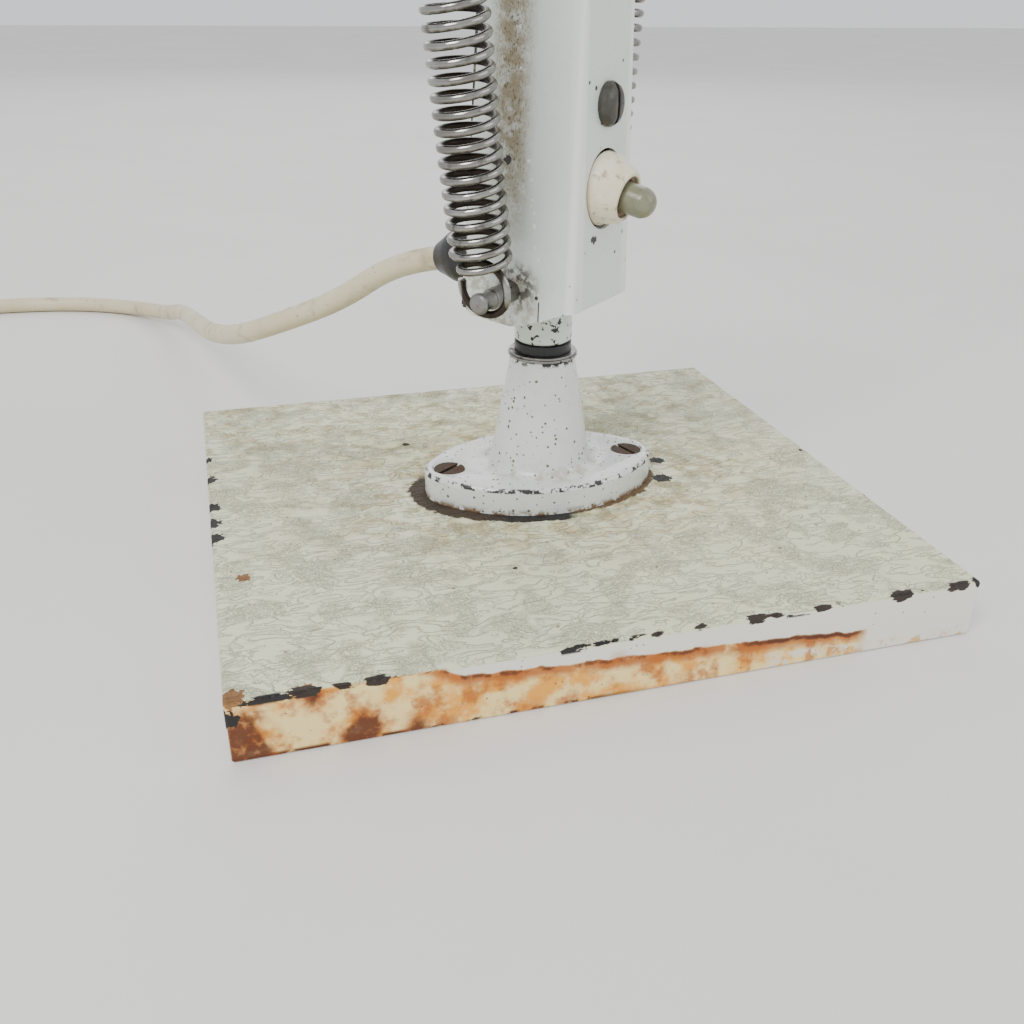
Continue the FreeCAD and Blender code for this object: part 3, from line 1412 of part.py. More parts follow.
def yoke_parts():
    """U strap on a stem that turns in the wrist socket."""
    frame = yoke_frame()
    body = new_body("yoke", frame)
    outer = YOKE_HALF_WIDTH
    inner = YOKE_HALF_WIDTH + " - yoke_strap_thickness"
    end = YOKE_REACH + " + yoke_strap_width / 2"
    sketch = new_sketch(body, "YokeOutline", "XZ_Plane")
    draw_polygon(sketch, [
        ("-(%s)" % outer, "0"), (outer, "0"), (outer, end), (inner, end),
        (inner, "yoke_strap_thickness"), ("-(%s)" % inner, "yoke_strap_thickness"),
        ("-(%s)" % inner, end), ("-(%s)" % outer, end)])
    strap = pad(body, sketch, "yoke_strap_width", "Strap", both_ways=True)
    doc.recompute()
    inner_half = size(inner)

    def bend(half, level):
        """Test for the strap's bend edges at a half width and level."""
        def chosen(edge):
            point = edge_middle(edge)
            return straight_edge_along(edge, Y_AXIS) and abs(abs(point.x) - half) < 0.01 \
                and abs(point.z - level) < 0.01
        return chosen
    outside = round_edges(body, strap, "yoke_bend_radius", bend(size(outer), 0.0), "OuterBends")
    doc.recompute()
    inside = round_edges(body, outside, "yoke_bend_radius - yoke_strap_thickness",
                         bend(inner_half, size("yoke_strap_thickness")), "InnerBends")
    doc.recompute()
    top = size(end)

    def ear_corner(edge):
        return straight_edge_along(edge, X_AXIS) and edge_middle(edge).z > top - 0.01
    round_edges(body, inside, "yoke_strap_width / 2 - 0.1", ear_corner, "Ears")
    sideways = Rotation(Y_AXIS, 90)
    bore(body, "tilt_screw_radius + running_fit", "-%s - 2" % YOKE_HALF_WIDTH,
         YOKE_HALF_WIDTH + " + 2", "TiltHoles", Vector(0, 0, size(YOKE_REACH)), sideways)
    bore(body, "stem_radius - 0.5", "-1", "yoke_strap_thickness + 1", "StemHole")
    turned_part("yoke_stem", [
        ("0", "-stem_length"), ("stem_radius - 0.6", "-stem_length"),
        ("stem_radius", "-stem_length + 0.8"), ("stem_radius", "-0.02"),
        ("stem_radius - 0.6", "-0.02"), ("stem_radius - 0.6", "yoke_strap_thickness + 0.02"),
        ("stem_radius + 2.2", "yoke_strap_thickness + 0.02"),
        ("stem_radius + 1.4", "yoke_strap_thickness + 2"),
        ("0", "yoke_strap_thickness + 2.4")], frame)


def lamp_head():
    """Drum with its pivot bosses and vents, its rear cap, and what they hold."""
    frame = head_frame()
    wall = "drum_wall"
    drum = new_body("lamp_housing", frame)
    turn(drum, [
        ("drum_radius - " + wall, "drum_front"), ("drum_radius", "drum_front"),
        ("drum_radius", "-drum_rear"), ("drum_tail_radius", "-drum_tail"),
        ("drum_tail_radius - 6", "-drum_tail"),
        ("drum_tail_radius - 6", "-drum_tail + " + wall),
        ("drum_tail_radius - 0.4", "-drum_tail + " + wall),
        ("drum_radius - " + wall, "-drum_rear + 0.4")], "Shell")
    doc.recompute()
    for side in (-1, 1):
        boss = new_sketch(drum, "BossOutline", "YZ_Plane",
                          "%s%s" % ("-" if side < 0 else "", BOSS_REACH))
        draw_circle(boss, ("0", "0"), "tilt_boss_radius")
        pad(drum, boss, BOSS_REACH + " - drum_radius + 1.1", "Boss", backward=side > 0)
    doc.recompute()
    turned = Rotation(Y_AXIS, 90)
    bore(drum, "tilt_screw_radius - 0.4", "-" + YOKE_HALF_WIDTH, YOKE_HALF_WIDTH, "TiltThreads",
         Vector(0, 0, 0), turned)
    vent = new_sketch(drum, "VentOutline", "XZ_Plane")
    draw_polygon(vent, [
        ("drum_tail_radius + 6", "-drum_tail + 1.4"), ("drum_radius - 2", "-drum_rear - 5.8"),
        ("drum_radius - 6", "-drum_rear - 1.4"), ("drum_tail_radius + 2", "-drum_tail + 5.8")])
    slot = pocket(drum, vent, "vent_width", "Vent", both_ways=True)
    ring = drum.newObject("PartDesign::PolarPattern", "VentRing")
    ring.Originals = [slot]
    ring.Axis = (origin_plane(drum, "Z_Axis"), [""])
    ring.Angle = 360
    ring.Occurrences = int(size("vent_count"))
    drum.Tip = ring
    doc.recompute()
    cap_foot = "-drum_tail - cap_height"
    turned_part("rear_cap", [
        ("0", cap_foot), ("drum_tail_radius - 16", cap_foot + " + 1"),
        ("drum_tail_radius - 8", cap_foot + " + 4.4"), ("drum_tail_radius - 3.4", "-drum_tail - 3.2"),
        ("drum_tail_radius - 3", "-drum_tail - 0.05"), ("drum_tail_radius - 6.1", "-drum_tail - 0.05"),
        ("drum_tail_radius - 6.1", "-drum_tail + 3"), ("drum_tail_radius - 7.4", "-drum_tail + 3"),
        ("drum_tail_radius - 7.4", "-drum_tail - 3.4"), ("drum_tail_radius - 9", cap_foot + " + 6"),
        ("drum_tail_radius - 16.5", cap_foot + " + 2.6"), ("0", cap_foot + " + 1.8")], frame)
    lamp_and_optics(frame)
    tilt_screws(frame)


BOWL_DEPTH = "(drum_front - holder_top)"


def bowl_outline(shares):
    """Corners of the reflector's bowl from shares of the drum's radius and the bowl's depth."""
    return [("%s * drum_radius" % across, "holder_top + %s * %s" % (along, BOWL_DEPTH))
            for across, along in shares]


def lamp_and_optics(frame):
    """Holder, bulb, reflector, lens, its rim and the grip that aims the head."""
    holder_foot = "-drum_tail - cap_height + 1.85"
    turned_part("lamp_holder", [
        ("0", holder_foot), ("holder_radius - 1", holder_foot + " + 0.71"),
        ("holder_radius", holder_foot + " + 3.15"), ("holder_radius", "holder_top - 6"),
        ("holder_flange_radius", "holder_top - 6"), ("holder_flange_radius", "holder_top"),
        ("bulb_cap_radius + assembly_gap", "holder_top"),
        ("bulb_cap_radius + assembly_gap", "holder_top - 12"), ("0", "holder_top - 12")], frame)
    glass = [(0.578, 0.176), (0.889, 0.374), (1.0, 0.551), (0.933, 0.749), (0.689, 0.903),
             (0.356, 0.978), (0.0, 1.0)]
    turned_part("bulb", [
        ("0", "holder_top - 11.9"), ("bulb_cap_radius", "holder_top - 11.9"),
        ("bulb_cap_radius", "holder_top + 2")] + [
        ("%s * bulb_radius" % across, "holder_top + %s * bulb_length" % along)
        for across, along in glass], frame)
    seat = "drum_radius - drum_wall - 0.1"
    outside = [(0.52, 0.08), (0.68, 0.26), (0.81, 0.48), (0.9, 0.76)]
    inside = [(0.884, 0.76), (0.794, 0.488), (0.666, 0.272), (0.508, 0.096)]
    hole = "holder_flange_radius + assembly_gap"
    turned_part("reflector", [(hole, "holder_top - 3")] + bowl_outline(outside) + [
        ("0.932 * drum_radius", "drum_front - 1.2"), (seat, "drum_front - 1.2"),
        (seat, "drum_front - 0.1"), ("0.918 * drum_radius", "drum_front - 0.1")]
        + bowl_outline(inside) + [(hole, "holder_top - 1.9")], frame)
    crown = "drum_front + lens_thickness"
    edge = "drum_radius - 0.3"
    turned_part("lens", [
        ("0", crown + " + lens_rise"), ("0.26 * drum_radius", crown + " + 0.94 * lens_rise"),
        ("0.52 * drum_radius", crown + " + 0.7 * lens_rise"),
        ("0.74 * drum_radius", crown + " + 0.32 * lens_rise"),
        ("0.892 * drum_radius", crown + " - 0.5"), (edge, crown + " - 0.5"),
        (edge, "drum_front + 0.05"), ("0.884 * drum_radius", "drum_front + 0.05"),
        ("0.72 * drum_radius", "drum_front + 0.42 * lens_rise"),
        ("0.5 * drum_radius", "drum_front + 0.76 * lens_rise"),
        ("0.24 * drum_radius", "drum_front + 0.96 * lens_rise"),
        ("0", "drum_front + lens_rise")], frame)
    face = crown + " - 0.45"
    rim_back = "drum_front - rim_depth + 3.5"
    rim = "drum_radius + rim_overhang"
    turned_part("front_rim", [
        ("drum_radius + 0.05", rim_back), (rim + " - 0.8", rim_back),
        (rim, rim_back + " + 1.1"), (rim, face),
        (rim + " - 1.6", face + " + 1.6"), ("0.904 * drum_radius", face + " + 1.6"),
        ("0.904 * drum_radius", face), ("drum_radius + 0.05", face)], frame)
    turned_part("aiming_grip", [
        ("0", "drum_radius + 0.1"), ("grip_radius - 1", "drum_radius + 0.1"),
        ("grip_radius - 1", "drum_radius + 2"), ("grip_radius - 2.6", "drum_radius + 3.4"),
        ("grip_radius - 2.6", "drum_radius + 6"), ("grip_radius - 0.8", "drum_radius + 11"),
        ("grip_radius", "drum_radius + 22"), ("grip_radius - 1", "drum_radius + grip_length - 8"),
        ("grip_radius - 3.4", "drum_radius + grip_length - 1.6"), ("0", "drum_radius + grip_length")],
        frame * Placement(Vector(0, 0, size("grip_place")), Rotation(X_AXIS, -90)))


def tilt_screws(frame):
    """Two knobbed screws that clamp the head between the yoke's ears."""
    outer = size(YOKE_HALF_WIDTH)
    boss = size(BOSS_REACH)
    shank = size("tilt_screw_radius")
    thread = shank - 0.45
    root = boss - size("tilt_screw_depth")
    knob = size("tilt_knob_radius")
    end = outer + size("tilt_knob_height")
    screw = x_turned([
        (0, root), (thread, root), (thread, boss + 0.02), (shank, boss + 0.02),
        (shank, outer + 0.3), (knob - 2.5, outer + 0.3), (knob - 2.5, outer + 2.2),
        (knob, outer + 3.6), (knob, end - 1.6), (knob - 1.6, end), (0, end)])
    new_feature("tilt_screws", both_sides(screw), frame)


def write_parts():
    """One STEP file for each sub-part, named by its label."""
    os.makedirs("parts", exist_ok=True)
    for item in PARTS:
        item.Shape.exportStep("parts/%s.step" % item.Label)
    print("%d sub-parts written" % len(PARTS))


def check_document():
    """Stops if any object failed or any sub-part has no valid shape."""
    doc.recompute()
    for item in doc.Objects:
        if "Invalid" in item.State or "Error" in item.State:
            raise RuntimeError("%s failed: %s" % (item.Name, item.State))
    for item in PARTS:
        if item.Shape.isNull() or not item.Shape.isValid() or not item.Shape.Solids:
            raise RuntimeError("%s has no valid solid" % item.Label)


base_plate()
foot_casting()
foot_screws()
swivel_stack()
pillar_shell()
rear_cover()
pivot_block()
spring_pins()
balance_springs()
switch_parts()
front_screw_parts()
cord_gland()
free_length = supply_cord()
coil_length, coil_tail, tail_heading = cord_coil()
plug_parts(coil_tail, tail_heading)
print("whole cord: %.0f" % (free_length + coil_length))
shoulder_parts()
lower_arm()
upper_arm()
yoke_parts()
lamp_head()
check_document()
write_parts()
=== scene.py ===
"""Looks of a spring balanced lamp with a searchlight head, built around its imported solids."""

import json
import logging
import math
from dataclasses import dataclass, field
from enum import Enum

import bmesh
import bpy
from mathutils import Matrix, Vector

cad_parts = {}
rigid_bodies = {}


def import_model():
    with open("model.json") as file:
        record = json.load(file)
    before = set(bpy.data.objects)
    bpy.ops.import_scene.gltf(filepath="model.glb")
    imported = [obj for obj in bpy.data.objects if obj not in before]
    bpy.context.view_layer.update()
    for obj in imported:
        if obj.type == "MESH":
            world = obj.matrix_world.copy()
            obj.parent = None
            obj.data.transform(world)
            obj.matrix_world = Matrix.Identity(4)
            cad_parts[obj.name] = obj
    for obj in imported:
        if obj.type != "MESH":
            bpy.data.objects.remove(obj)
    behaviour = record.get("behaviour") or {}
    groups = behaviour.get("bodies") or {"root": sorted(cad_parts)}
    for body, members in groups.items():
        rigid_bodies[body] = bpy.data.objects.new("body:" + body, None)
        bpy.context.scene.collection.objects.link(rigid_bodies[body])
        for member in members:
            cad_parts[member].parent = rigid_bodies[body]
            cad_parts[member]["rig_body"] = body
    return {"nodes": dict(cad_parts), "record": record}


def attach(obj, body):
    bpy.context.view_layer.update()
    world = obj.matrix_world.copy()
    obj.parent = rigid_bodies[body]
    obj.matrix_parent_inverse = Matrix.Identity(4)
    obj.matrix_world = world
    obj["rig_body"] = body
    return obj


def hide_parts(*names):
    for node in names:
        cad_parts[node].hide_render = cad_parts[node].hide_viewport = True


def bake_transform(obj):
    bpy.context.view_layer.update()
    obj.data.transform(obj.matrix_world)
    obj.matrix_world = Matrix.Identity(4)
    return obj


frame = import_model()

LOG = logging.getLogger("lamp")
MM = 0.001
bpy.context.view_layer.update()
PILLAR_TURN = 41.0
WELD_DISTANCE = 1e-5
FLAT_ANGLE = math.radians(0.4)
SHARP_ANGLE = math.radians(32.0)
MIDDLE = 0.5
NUMBER = "NodeSocketFloat"
VECTOR = "NodeSocketVector"
SHAPE = "NodeSocketGeometry"
FINISH = "NodeSocketMaterial"

Colour = tuple[float, float, float, float]
Point = tuple[float, float, float]
Span = tuple[float, float]
Mesh = bpy.types.Mesh
Socket = bpy.types.NodeSocket
Value = Socket | float


def tone(red: float, green: float, blue: float) -> Colour:
    """A linear colour with full alpha."""
    return (red, green, blue, 1.0)


def turned(axis: str, degrees: float) -> Matrix:
    """A turn about one of the main axes."""
    return Matrix.Rotation(math.radians(degrees), 4, axis)


def moved(x: float, y: float, z: float) -> Matrix:
    """A move without a turn."""
    return Matrix.Translation((x, y, z))


PILLAR = turned("Z", PILLAR_TURN)


def put(name: str, data: bpy.types.ID) -> bpy.types.Object:
    """Adds an object to the scene.

    Args:
        name: Its name.
        data: Its mesh, curve, light or camera.

    Returns:
        The new object.
    """
    thing = bpy.data.objects.new(name, data)
    bpy.context.scene.collection.objects.link(thing)
    return thing


def modified(mesh: Mesh, kind: str, settings: dict, inputs: dict | None = None) -> Mesh:
    """Runs one modifier on a mesh.

    Args:
        mesh: What it starts from.
        kind: The modifier's type.
        settings: Its properties by name.
        inputs: The values of its tree's sockets by identifier, if it has a tree.

    Returns:
        The result as a plain mesh.
    """
    holder = put("holder", mesh)
    modifier = holder.modifiers.new("step", kind)
    for name, value in settings.items():
        setattr(modifier, name, value)
    for identifier, value in (inputs or {}).items():
        modifier[identifier] = value
    graph = bpy.context.evaluated_depsgraph_get()
    made = bpy.data.meshes.new_from_object(holder.evaluated_get(graph))
    bpy.data.objects.remove(holder)
    return made


class Graph:
    """Short calls that add and link the nodes of one tree."""

    COLUMNS = 12
    COLUMN_WIDTH = 190
    ROW_HEIGHT = 260

    def __init__(self, tree: bpy.types.NodeTree) -> None:
        """Keeps the tree that the calls fill."""
        self.tree = tree
        self.count = 0

    def add(self, kind: str, settings: dict | None = None,
            inputs: dict | None = None) -> bpy.types.Node:
        """Adds a node.

        Args:
            kind: The node's type name.
            settings: Its properties, by name.
            inputs: Its inputs by name or number, each a plain value or a socket to link.

        Returns:
            The new node.
        """
        node = self.tree.nodes.new(kind)
        row, column = divmod(self.count, self.COLUMNS)
        node.location = (self.COLUMN_WIDTH * column, -self.ROW_HEIGHT * row)
        self.count += 1
        for name, value in (settings or {}).items():
            setattr(node, name, value)
        for key, value in (inputs or {}).items():
            if isinstance(value, Socket):
                self.tree.links.new(value, node.inputs[key])
            else:
                node.inputs[key].default_value = value
        return node

    def math(self, operation: str, first: Value, second: Value = 0.0) -> Socket:
        """One step of arithmetic."""
        settings = {"operation": operation}
        return self.add("ShaderNodeMath", settings, {0: first, 1: second}).outputs[0]

    def vector(self, operation: str, first: Socket, second: Socket | Point = (0.0, 0.0, 0.0),
               output: int | str = 0) -> Socket:
        """One step of vector arithmetic; output "Value" gives its number."""
        settings = {"operation": operation}
        return self.add("ShaderNodeVectorMath", settings, {0: first, 1: second}).outputs[output]

    def smooth(self, value: Value, low: Value, high: Value) -> Socket:
        """Rises smoothly from 0 at low to 1 at high, or falls where low is the larger.

        Args:
            value: What is read.
            low: Where the result is 0.
            high: Where the result is 1.

        Returns:
            The share between them.
        """
        settings = {"interpolation_type": "SMOOTHSTEP"}
        inputs = {"Value": value, "From Min": low, "From Max": high}
        return self.add("ShaderNodeMapRange", settings, inputs).outputs[0]

    def band(self, value: Value, rise: Span, fall: Span) -> Socket:
        """A mask that rises over one span of a value and falls over another."""
        return self.times(self.smooth(value, *rise), self.smooth(value, *fall))

    def off(self, value: Value, middle: float, low: float, high: float) -> Socket:
        """As smooth, of the distance from a middle value."""
        apart = self.math("ABSOLUTE", self.math("SUBTRACT", value, middle))
        return self.smooth(apart, low, high)

    def times(self, first: Value, *others: Value) -> Socket | float:
        """Product of masks and shares."""
        for other in others:
            first = self.math("MULTIPLY", first, other)
        return first

    def ragged(self, value: Value, noise: Socket, amount: Value) -> Socket:
        """A value shaken by a noise, up and down by half of an amount."""
        shake = self.times(self.math("SUBTRACT", noise, MIDDLE), amount)
        return self.math("ADD", value, shake)

    def tint(self, share: Value, first: Socket | Colour, second: Socket | Colour) -> Socket:
        """Mixes two colours."""
        inputs = {0: share, 6: first, 7: second}
        return self.add("ShaderNodeMix", {"data_type": "RGBA"}, inputs).outputs[2]

    def level(self, share: Value, first: Value, second: Value) -> Socket:
        """Mixes two numbers."""
        inputs = {0: share, 2: first, 3: second}
        return self.add("ShaderNodeMix", {"data_type": "FLOAT"}, inputs).outputs[0]

    def noise(self, place: Socket, scale: Value, detail: Value, distortion: float = 0.0,
              roughness: float = 0.5) -> Socket:
        """Noise between 0 and 1, even about its middle.

        Args:
            place: Where it is read.
            scale: How many of its features fit in a millimetre.
            detail: How many finer layers it has.
            distortion: How far it is bent.
            roughness: How strong its finer layers are.

        Returns:
            The noise.
        """
        return self.add("ShaderNodeTexNoise", None, {
            "Vector": place, "Scale": scale, "Detail": detail, "Distortion": distortion,
            "Roughness": roughness}).outputs[0]

    def close(self, result: Socket) -> None:
        """Gives a group its result."""
        self.add("NodeGroupOutput", None, {0: result})


def open_tree(kind: str, name: str, inputs: dict[str, str],
              output: str) -> tuple[Graph, bpy.types.NodeOutputs]:
    """Starts a node group.

    Args:
        kind: The tree's type.
        name: The group's name.
        inputs: Socket types by input name.
        output: Type of its one output.

    Returns:
        The group's graph and the sockets of its inputs.
    """
    tree = bpy.data.node_groups.new(name, kind)
    for label, socket in inputs.items():
        tree.interface.new_socket(label, in_out="INPUT", socket_type=socket)
    tree.interface.new_socket("Result", in_out="OUTPUT", socket_type=output)
    graph = Graph(tree)
    return graph, graph.add("NodeGroupInput").outputs


class Effect(Enum):
    """Shader groups that several finishes share."""

    PATCHES = "patches"
    SPECKS = "specks"
    WRINKLES = "wrinkles"
    SPOT = "spot"
    OVAL = "oval"


class EffectLibrary:
    """Builds each shared shader group once."""

    def __init__(self) -> None:
        """Starts with no group built."""
        self.built: dict[Effect, bpy.types.NodeTree] = {}

    def open_group(self, effect: Effect, *numbers: str,
                   vectors: tuple[str, ...] = ("Vector",)) -> tuple[Graph, bpy.types.NodeOutputs]:
        """Starts a group.

        Args:
            effect: Which group it is.
            numbers: Names of its number inputs.
            vectors: Names of its vector inputs.

        Returns:
            The group's graph and the sockets of its inputs.
        """
        inputs = dict.fromkeys(vectors, VECTOR) | dict.fromkeys(numbers, NUMBER)
        graph, given = open_tree("ShaderNodeTree", effect.value, inputs, NUMBER)
        self.built[effect] = graph.tree
        return graph, given

    def patches(self) -> None:
        """Soft or hard edged patches of noise."""
        graph, given = self.open_group(Effect.PATCHES, "Scale", "Detail", "Low", "High", "Shift")
        place = graph.vector("ADD", given["Vector"], given["Shift"])
        noise = graph.noise(place, given["Scale"], given["Detail"], roughness=0.62)
        graph.close(graph.smooth(noise, given["Low"], given["High"]))

    def specks(self) -> None:
        """Small separate dots of uneven size."""
        graph, given = self.open_group(Effect.SPECKS, "Scale", "Size", "Share")
        cells = graph.add("ShaderNodeTexVoronoi", None, {
            "Vector": given["Vector"], "Scale": given["Scale"]}).outputs
        chance = graph.add("ShaderNodeSeparateColor", None, {0: cells["Color"]}).outputs
        reach = graph.times(given["Size"], chance[1])
        dot = graph.smooth(cells["Distance"], reach, graph.times(reach, 0.6))
        graph.close(graph.times(dot, graph.math("LESS_THAN", chance[0], given["Share"])))

    def wrinkles(self) -> None:
        """Fine wandering ridges of a crinkled enamel, with smoother islands between."""
        graph, given = self.open_group(Effect.WRINKLES, "Scale")
        place, scale = given["Vector"], given["Scale"]
        wide = graph.vector("MULTIPLY", place, (0.6, 1.25, 1.0))
        swirl = graph.noise(wide, graph.times(scale, 0.34), 3.0, 1.0)
        fine = graph.noise(place, scale, 2.0, 2.4)
        island = graph.noise(place, graph.times(scale, 0.16), 1.0)
        fold = graph.times(graph.off(swirl, MIDDLE, 0.06, 0.0), 0.7)
        thread = graph.off(fine, MIDDLE, 0.09, 0.0)
        shown = graph.smooth(island, 0.5, 0.62)
        graph.close(graph.math("ADD", fold, graph.times(thread, shown, 0.3)))

    def spot(self) -> None:
        """One ragged mark about a place."""
        graph, given = self.open_group(
            Effect.SPOT, "Radius", "Ragged", vectors=("Vector", "Centre"))
        apart = graph.vector("DISTANCE", given["Vector"], given["Centre"], "Value")
        edge = graph.ragged(apart, graph.noise(given["Vector"], 0.9, 4.0), given["Ragged"])
        inner = graph.math("SUBTRACT", given["Radius"], 0.25)
        graph.close(graph.smooth(edge, given["Radius"], inner))

    def oval(self) -> None:
        """How far out a point lies, 1 on an oval of given half length and half width."""
        halves = ("Half length", "Half width")
        graph, given = self.open_group(Effect.OVAL, *halves)
        split = graph.add("ShaderNodeSeparateXYZ", None, {0: given["Vector"]}).outputs
        shares = [graph.math("DIVIDE", split[axis], given[half])
                  for axis, half in enumerate(halves)]
        squares = [graph.times(share, share) for share in shares]
        graph.close(graph.math("SQRT", graph.math("ADD", *squares)))

    def use(self, graph: Graph, effect: Effect, **values: Value | Point) -> Socket:
        """Places a shared group in a material.

        Args:
            graph: The material's graph.
            effect: Which group.
            values: Its inputs, by name with _ for a space.

        Returns:
            The group's output socket.
        """
        if effect not in self.built:
            getattr(self, effect.value)()
        inputs = {name.replace("_", " "): value for name, value in values.items()}
        return graph.add("ShaderNodeGroup", {"node_tree": self.built[effect]}, inputs).outputs[0]


EFFECTS = EffectLibrary()


class Look(Graph):
    """The graph of one material, with the colour, roughness and height that it has so far."""

    def __init__(self, tree: bpy.types.NodeTree, turn: float) -> None:
        """Reads the place on the piece, in millimetres.

        Args:
            tree: The material's tree.
            turn: How far its own axes stand turned about Z, in degrees.
        """
        super().__init__(tree)
        self.place = self.add("ShaderNodeMapping", None, {
            "Vector": self.add("ShaderNodeTexCoord").outputs["Object"],
            "Rotation": (0.0, 0.0, -math.radians(turn)), "Scale": (1 / MM,) * 3}).outputs[0]
        self.x, self.y, self.z = self.add("ShaderNodeSeparateXYZ", None, {0: self.place}).outputs
        self.colour: Socket | None = None
        self.roughness: Value = 0.5
        self.height: Value = 0.0

    def paint(self, colour: Colour, *masks: Value, rough: float | None = None,
              sink: float = 0.0) -> None:
        """Lays a colour over the look where all masks are.

        Args:
            colour: The paint's colour.
            masks: Where the paint goes, and its share.
            rough: Its roughness, or None to keep what is there.
            sink: How far the surface drops under it, in millimetres.
        """
        mask = self.times(*masks)
        self.colour = self.tint(mask, self.colour, colour)
        if rough is not None:
            self.roughness = self.level(mask, self.roughness, rough)
        if sink:
            self.raise_by(mask, -sink)

    def raise_by(self, mask: Value, rise: float) -> None:
        """Lifts the surface where the mask is, in millimetres."""
        self.height = self.math("ADD", self.height, self.times(mask, rise))

    def patches(self, size: float, low: float, high: float, shift: float = 0.0,
                detail: float = 4.0, place: Socket | None = None) -> Socket:
        """Noise patches of about a size in millimetres, between two levels of the noise."""
        return EFFECTS.use(self, Effect.PATCHES, Vector=place or self.place, Scale=1.0 / size,
                           Detail=detail, Low=low, High=high, Shift=shift)

    def specks(self, scale: float, size: float, share: float) -> Socket:
        """Dots in a share of the cells, of which scale fit in a millimetre."""
        return EFFECTS.use(self, Effect.SPECKS, Vector=self.place, Scale=scale, Size=size,
                           Share=share)

    def oval(self, half_length: float, half_width: float) -> Socket:
        """How far out the place lies on ovals about Z."""
        return EFFECTS.use(self, Effect.OVAL, Vector=self.place, Half_length=half_length,
                           Half_width=half_width)


@dataclass(frozen=True)
class Mark:
    """A chip or stain: its centre, radius and raggedness in millimetres."""

    centre: Point
    radius: float
    ragged: float


def marks(*rows: tuple[float, ...]) -> tuple[Mark, ...]:
    """Marks from rows of X, Y, Z, radius and raggedness."""
    return tuple(Mark(row[:3], *row[3:]) for row in rows)


@dataclass(frozen=True)
class Grime:
    """Dirt: the size of its patches, the noise levels of their edges, and its share."""

    size: float = 9.0
    low: float = 0.56
    high: float = 0.78
    share: float = 0.5


@dataclass(frozen=True)
class Specks:
    """Dots: their size in a cell, the cell in millimetres, how many cells have one, the colour."""

    size: float
    cell: float = 2.2
    share: float = 0.4
    colour: Colour = tone(0.03, 0.025, 0.02)


@dataclass(frozen=True)
class Finish:
    """A finish whose colour, gloss and surface change over the piece."""

    name: str
    colour: Colour
    second: Colour
    dirt: Colour
    roughness: float
    rough_spread: float = 0.18
    metallic: float = 0.0
    coat: float = 0.0
    coat_roughness: float = 0.12
    tone_size: float = 14.0
    grime: Grime = Grime()
    specks: Specks | None = None
    grain: Span = (0.02, 1.2)
    transmission: float = 0.0
    turn: float = 0.0

    def build(self) -> bpy.types.Material:
        """Makes the material.

        Returns:
            The node material.
        """
        material = bpy.data.materials.new(self.name)
        material.use_nodes = True
        material.node_tree.nodes.clear()
        look = Look(material.node_tree, self.turn)
        mottle = look.patches(self.tone_size, 0.3, 0.7, 3.1, 5.0)
        look.colour = look.tint(mottle, self.colour, self.second)
        spread = 0.5 * self.rough_spread
        look.roughness = look.level(mottle, self.roughness - spread, self.roughness + spread)
        grain_height, grain_size = self.grain
        look.height = look.times(look.patches(grain_size, 0.2, 0.8, 9.4, 3.0), grain_height)
        soiled = look.patches(self.grime.size, self.grime.low, self.grime.high, 21.0, 8.0)
        look.paint(self.dirt, soiled, self.grime.share, rough=min(0.9, self.roughness + 0.25))
        if self.specks:
            dots = look.specks(1.0 / self.specks.cell, self.specks.size, self.specks.share)
            look.paint(self.specks.colour, dots, rough=0.7)
        self.dress(look)
        bumps = look.add("ShaderNodeBump", None, {
            "Strength": 1.0, "Distance": MM, "Height": look.height}).outputs[0]
        shader = look.add("ShaderNodeBsdfPrincipled", None, {
            "Base Color": look.colour, "Roughness": look.roughness, "Metallic": self.metallic,
            "Normal": bumps, "Coat Weight": self.coat, "Coat Roughness": self.coat_roughness,
            "Transmission Weight": self.transmission})
        look.add("ShaderNodeOutputMaterial", None, {0: shader.outputs[0]})
        return material

    def dress(self, look: Look) -> None:
        """Adds what only this finish has; a plain finish adds nothing."""

    def chip(self, look: Look, places: tuple[Mark, ...], colour: Colour, sink: float = 0.12,
             stretch: Point = (1.0, 1.0, 1.0)) -> None:
        """Lays marks over a look.

        Args:
            look: The look to mark.
            places: The marks.
            colour: What shows through.
            sink: Depth of the marks in millimetres.
            stretch: How much each axis counts, so that a mark grows along the small one.
        """
        place = look.vector("MULTIPLY", look.place, stretch)
        for mark in places:
            centre = tuple(value * share for value, share in zip(mark.centre, stretch))
            mask = EFFECTS.use(look, Effect.SPOT, Vector=place, Centre=centre,
                               Radius=mark.radius, Ragged=mark.ragged)
            look.paint(colour, mask, rough=0.65, sink=sink)


BARE = tone(0.012, 0.010, 0.009)
EDGE_BROWN = tone(0.026, 0.016, 0.011)
CORNER_STAIN = tone(0.28, 0.13, 0.04)
RIDGE_PAINTED_HIGHLIGHT = tone(0.84, 0.82, 0.60)
SIDE_CREAM = tone(0.76, 0.75, 0.66)
FLAKED_CREAM = tone(0.74, 0.72, 0.60)
BEND_PAINTED_HIGHLIGHT = tone(0.84, 0.87, 0.84)
CREASE_PAINTED_GLINTS = tone(0.86, 0.87, 0.80)
FOLD_PAINTED_SHADE = tone(0.30, 0.25, 0.12)
FRECKLE = tone(0.16, 0.10, 0.04)
HALO_DIRT = tone(0.40, 0.30, 0.12)
REAR_DIRT = tone(0.40, 0.31, 0.13)
RING_LINE = tone(0.13, 0.08, 0.035)
RING_BROWN = tone(0.045, 0.029, 0.015)
ROOT_DIRT = tone(0.27, 0.20, 0.10)
SEAM_DIRT = tone(0.16, 0.09, 0.035)
RUST_CREAM = tone(0.90, 0.70, 0.30)
RUST_PALE = tone(0.80, 0.36, 0.045)
RUST_FLECK = tone(0.62, 0.36, 0.09)
RUST_LIGHT = tone(0.42, 0.105, 0.006)
RUST_DARK = tone(0.085, 0.018, 0.005)
RUST_DOT = tone(0.05, 0.02, 0.01)
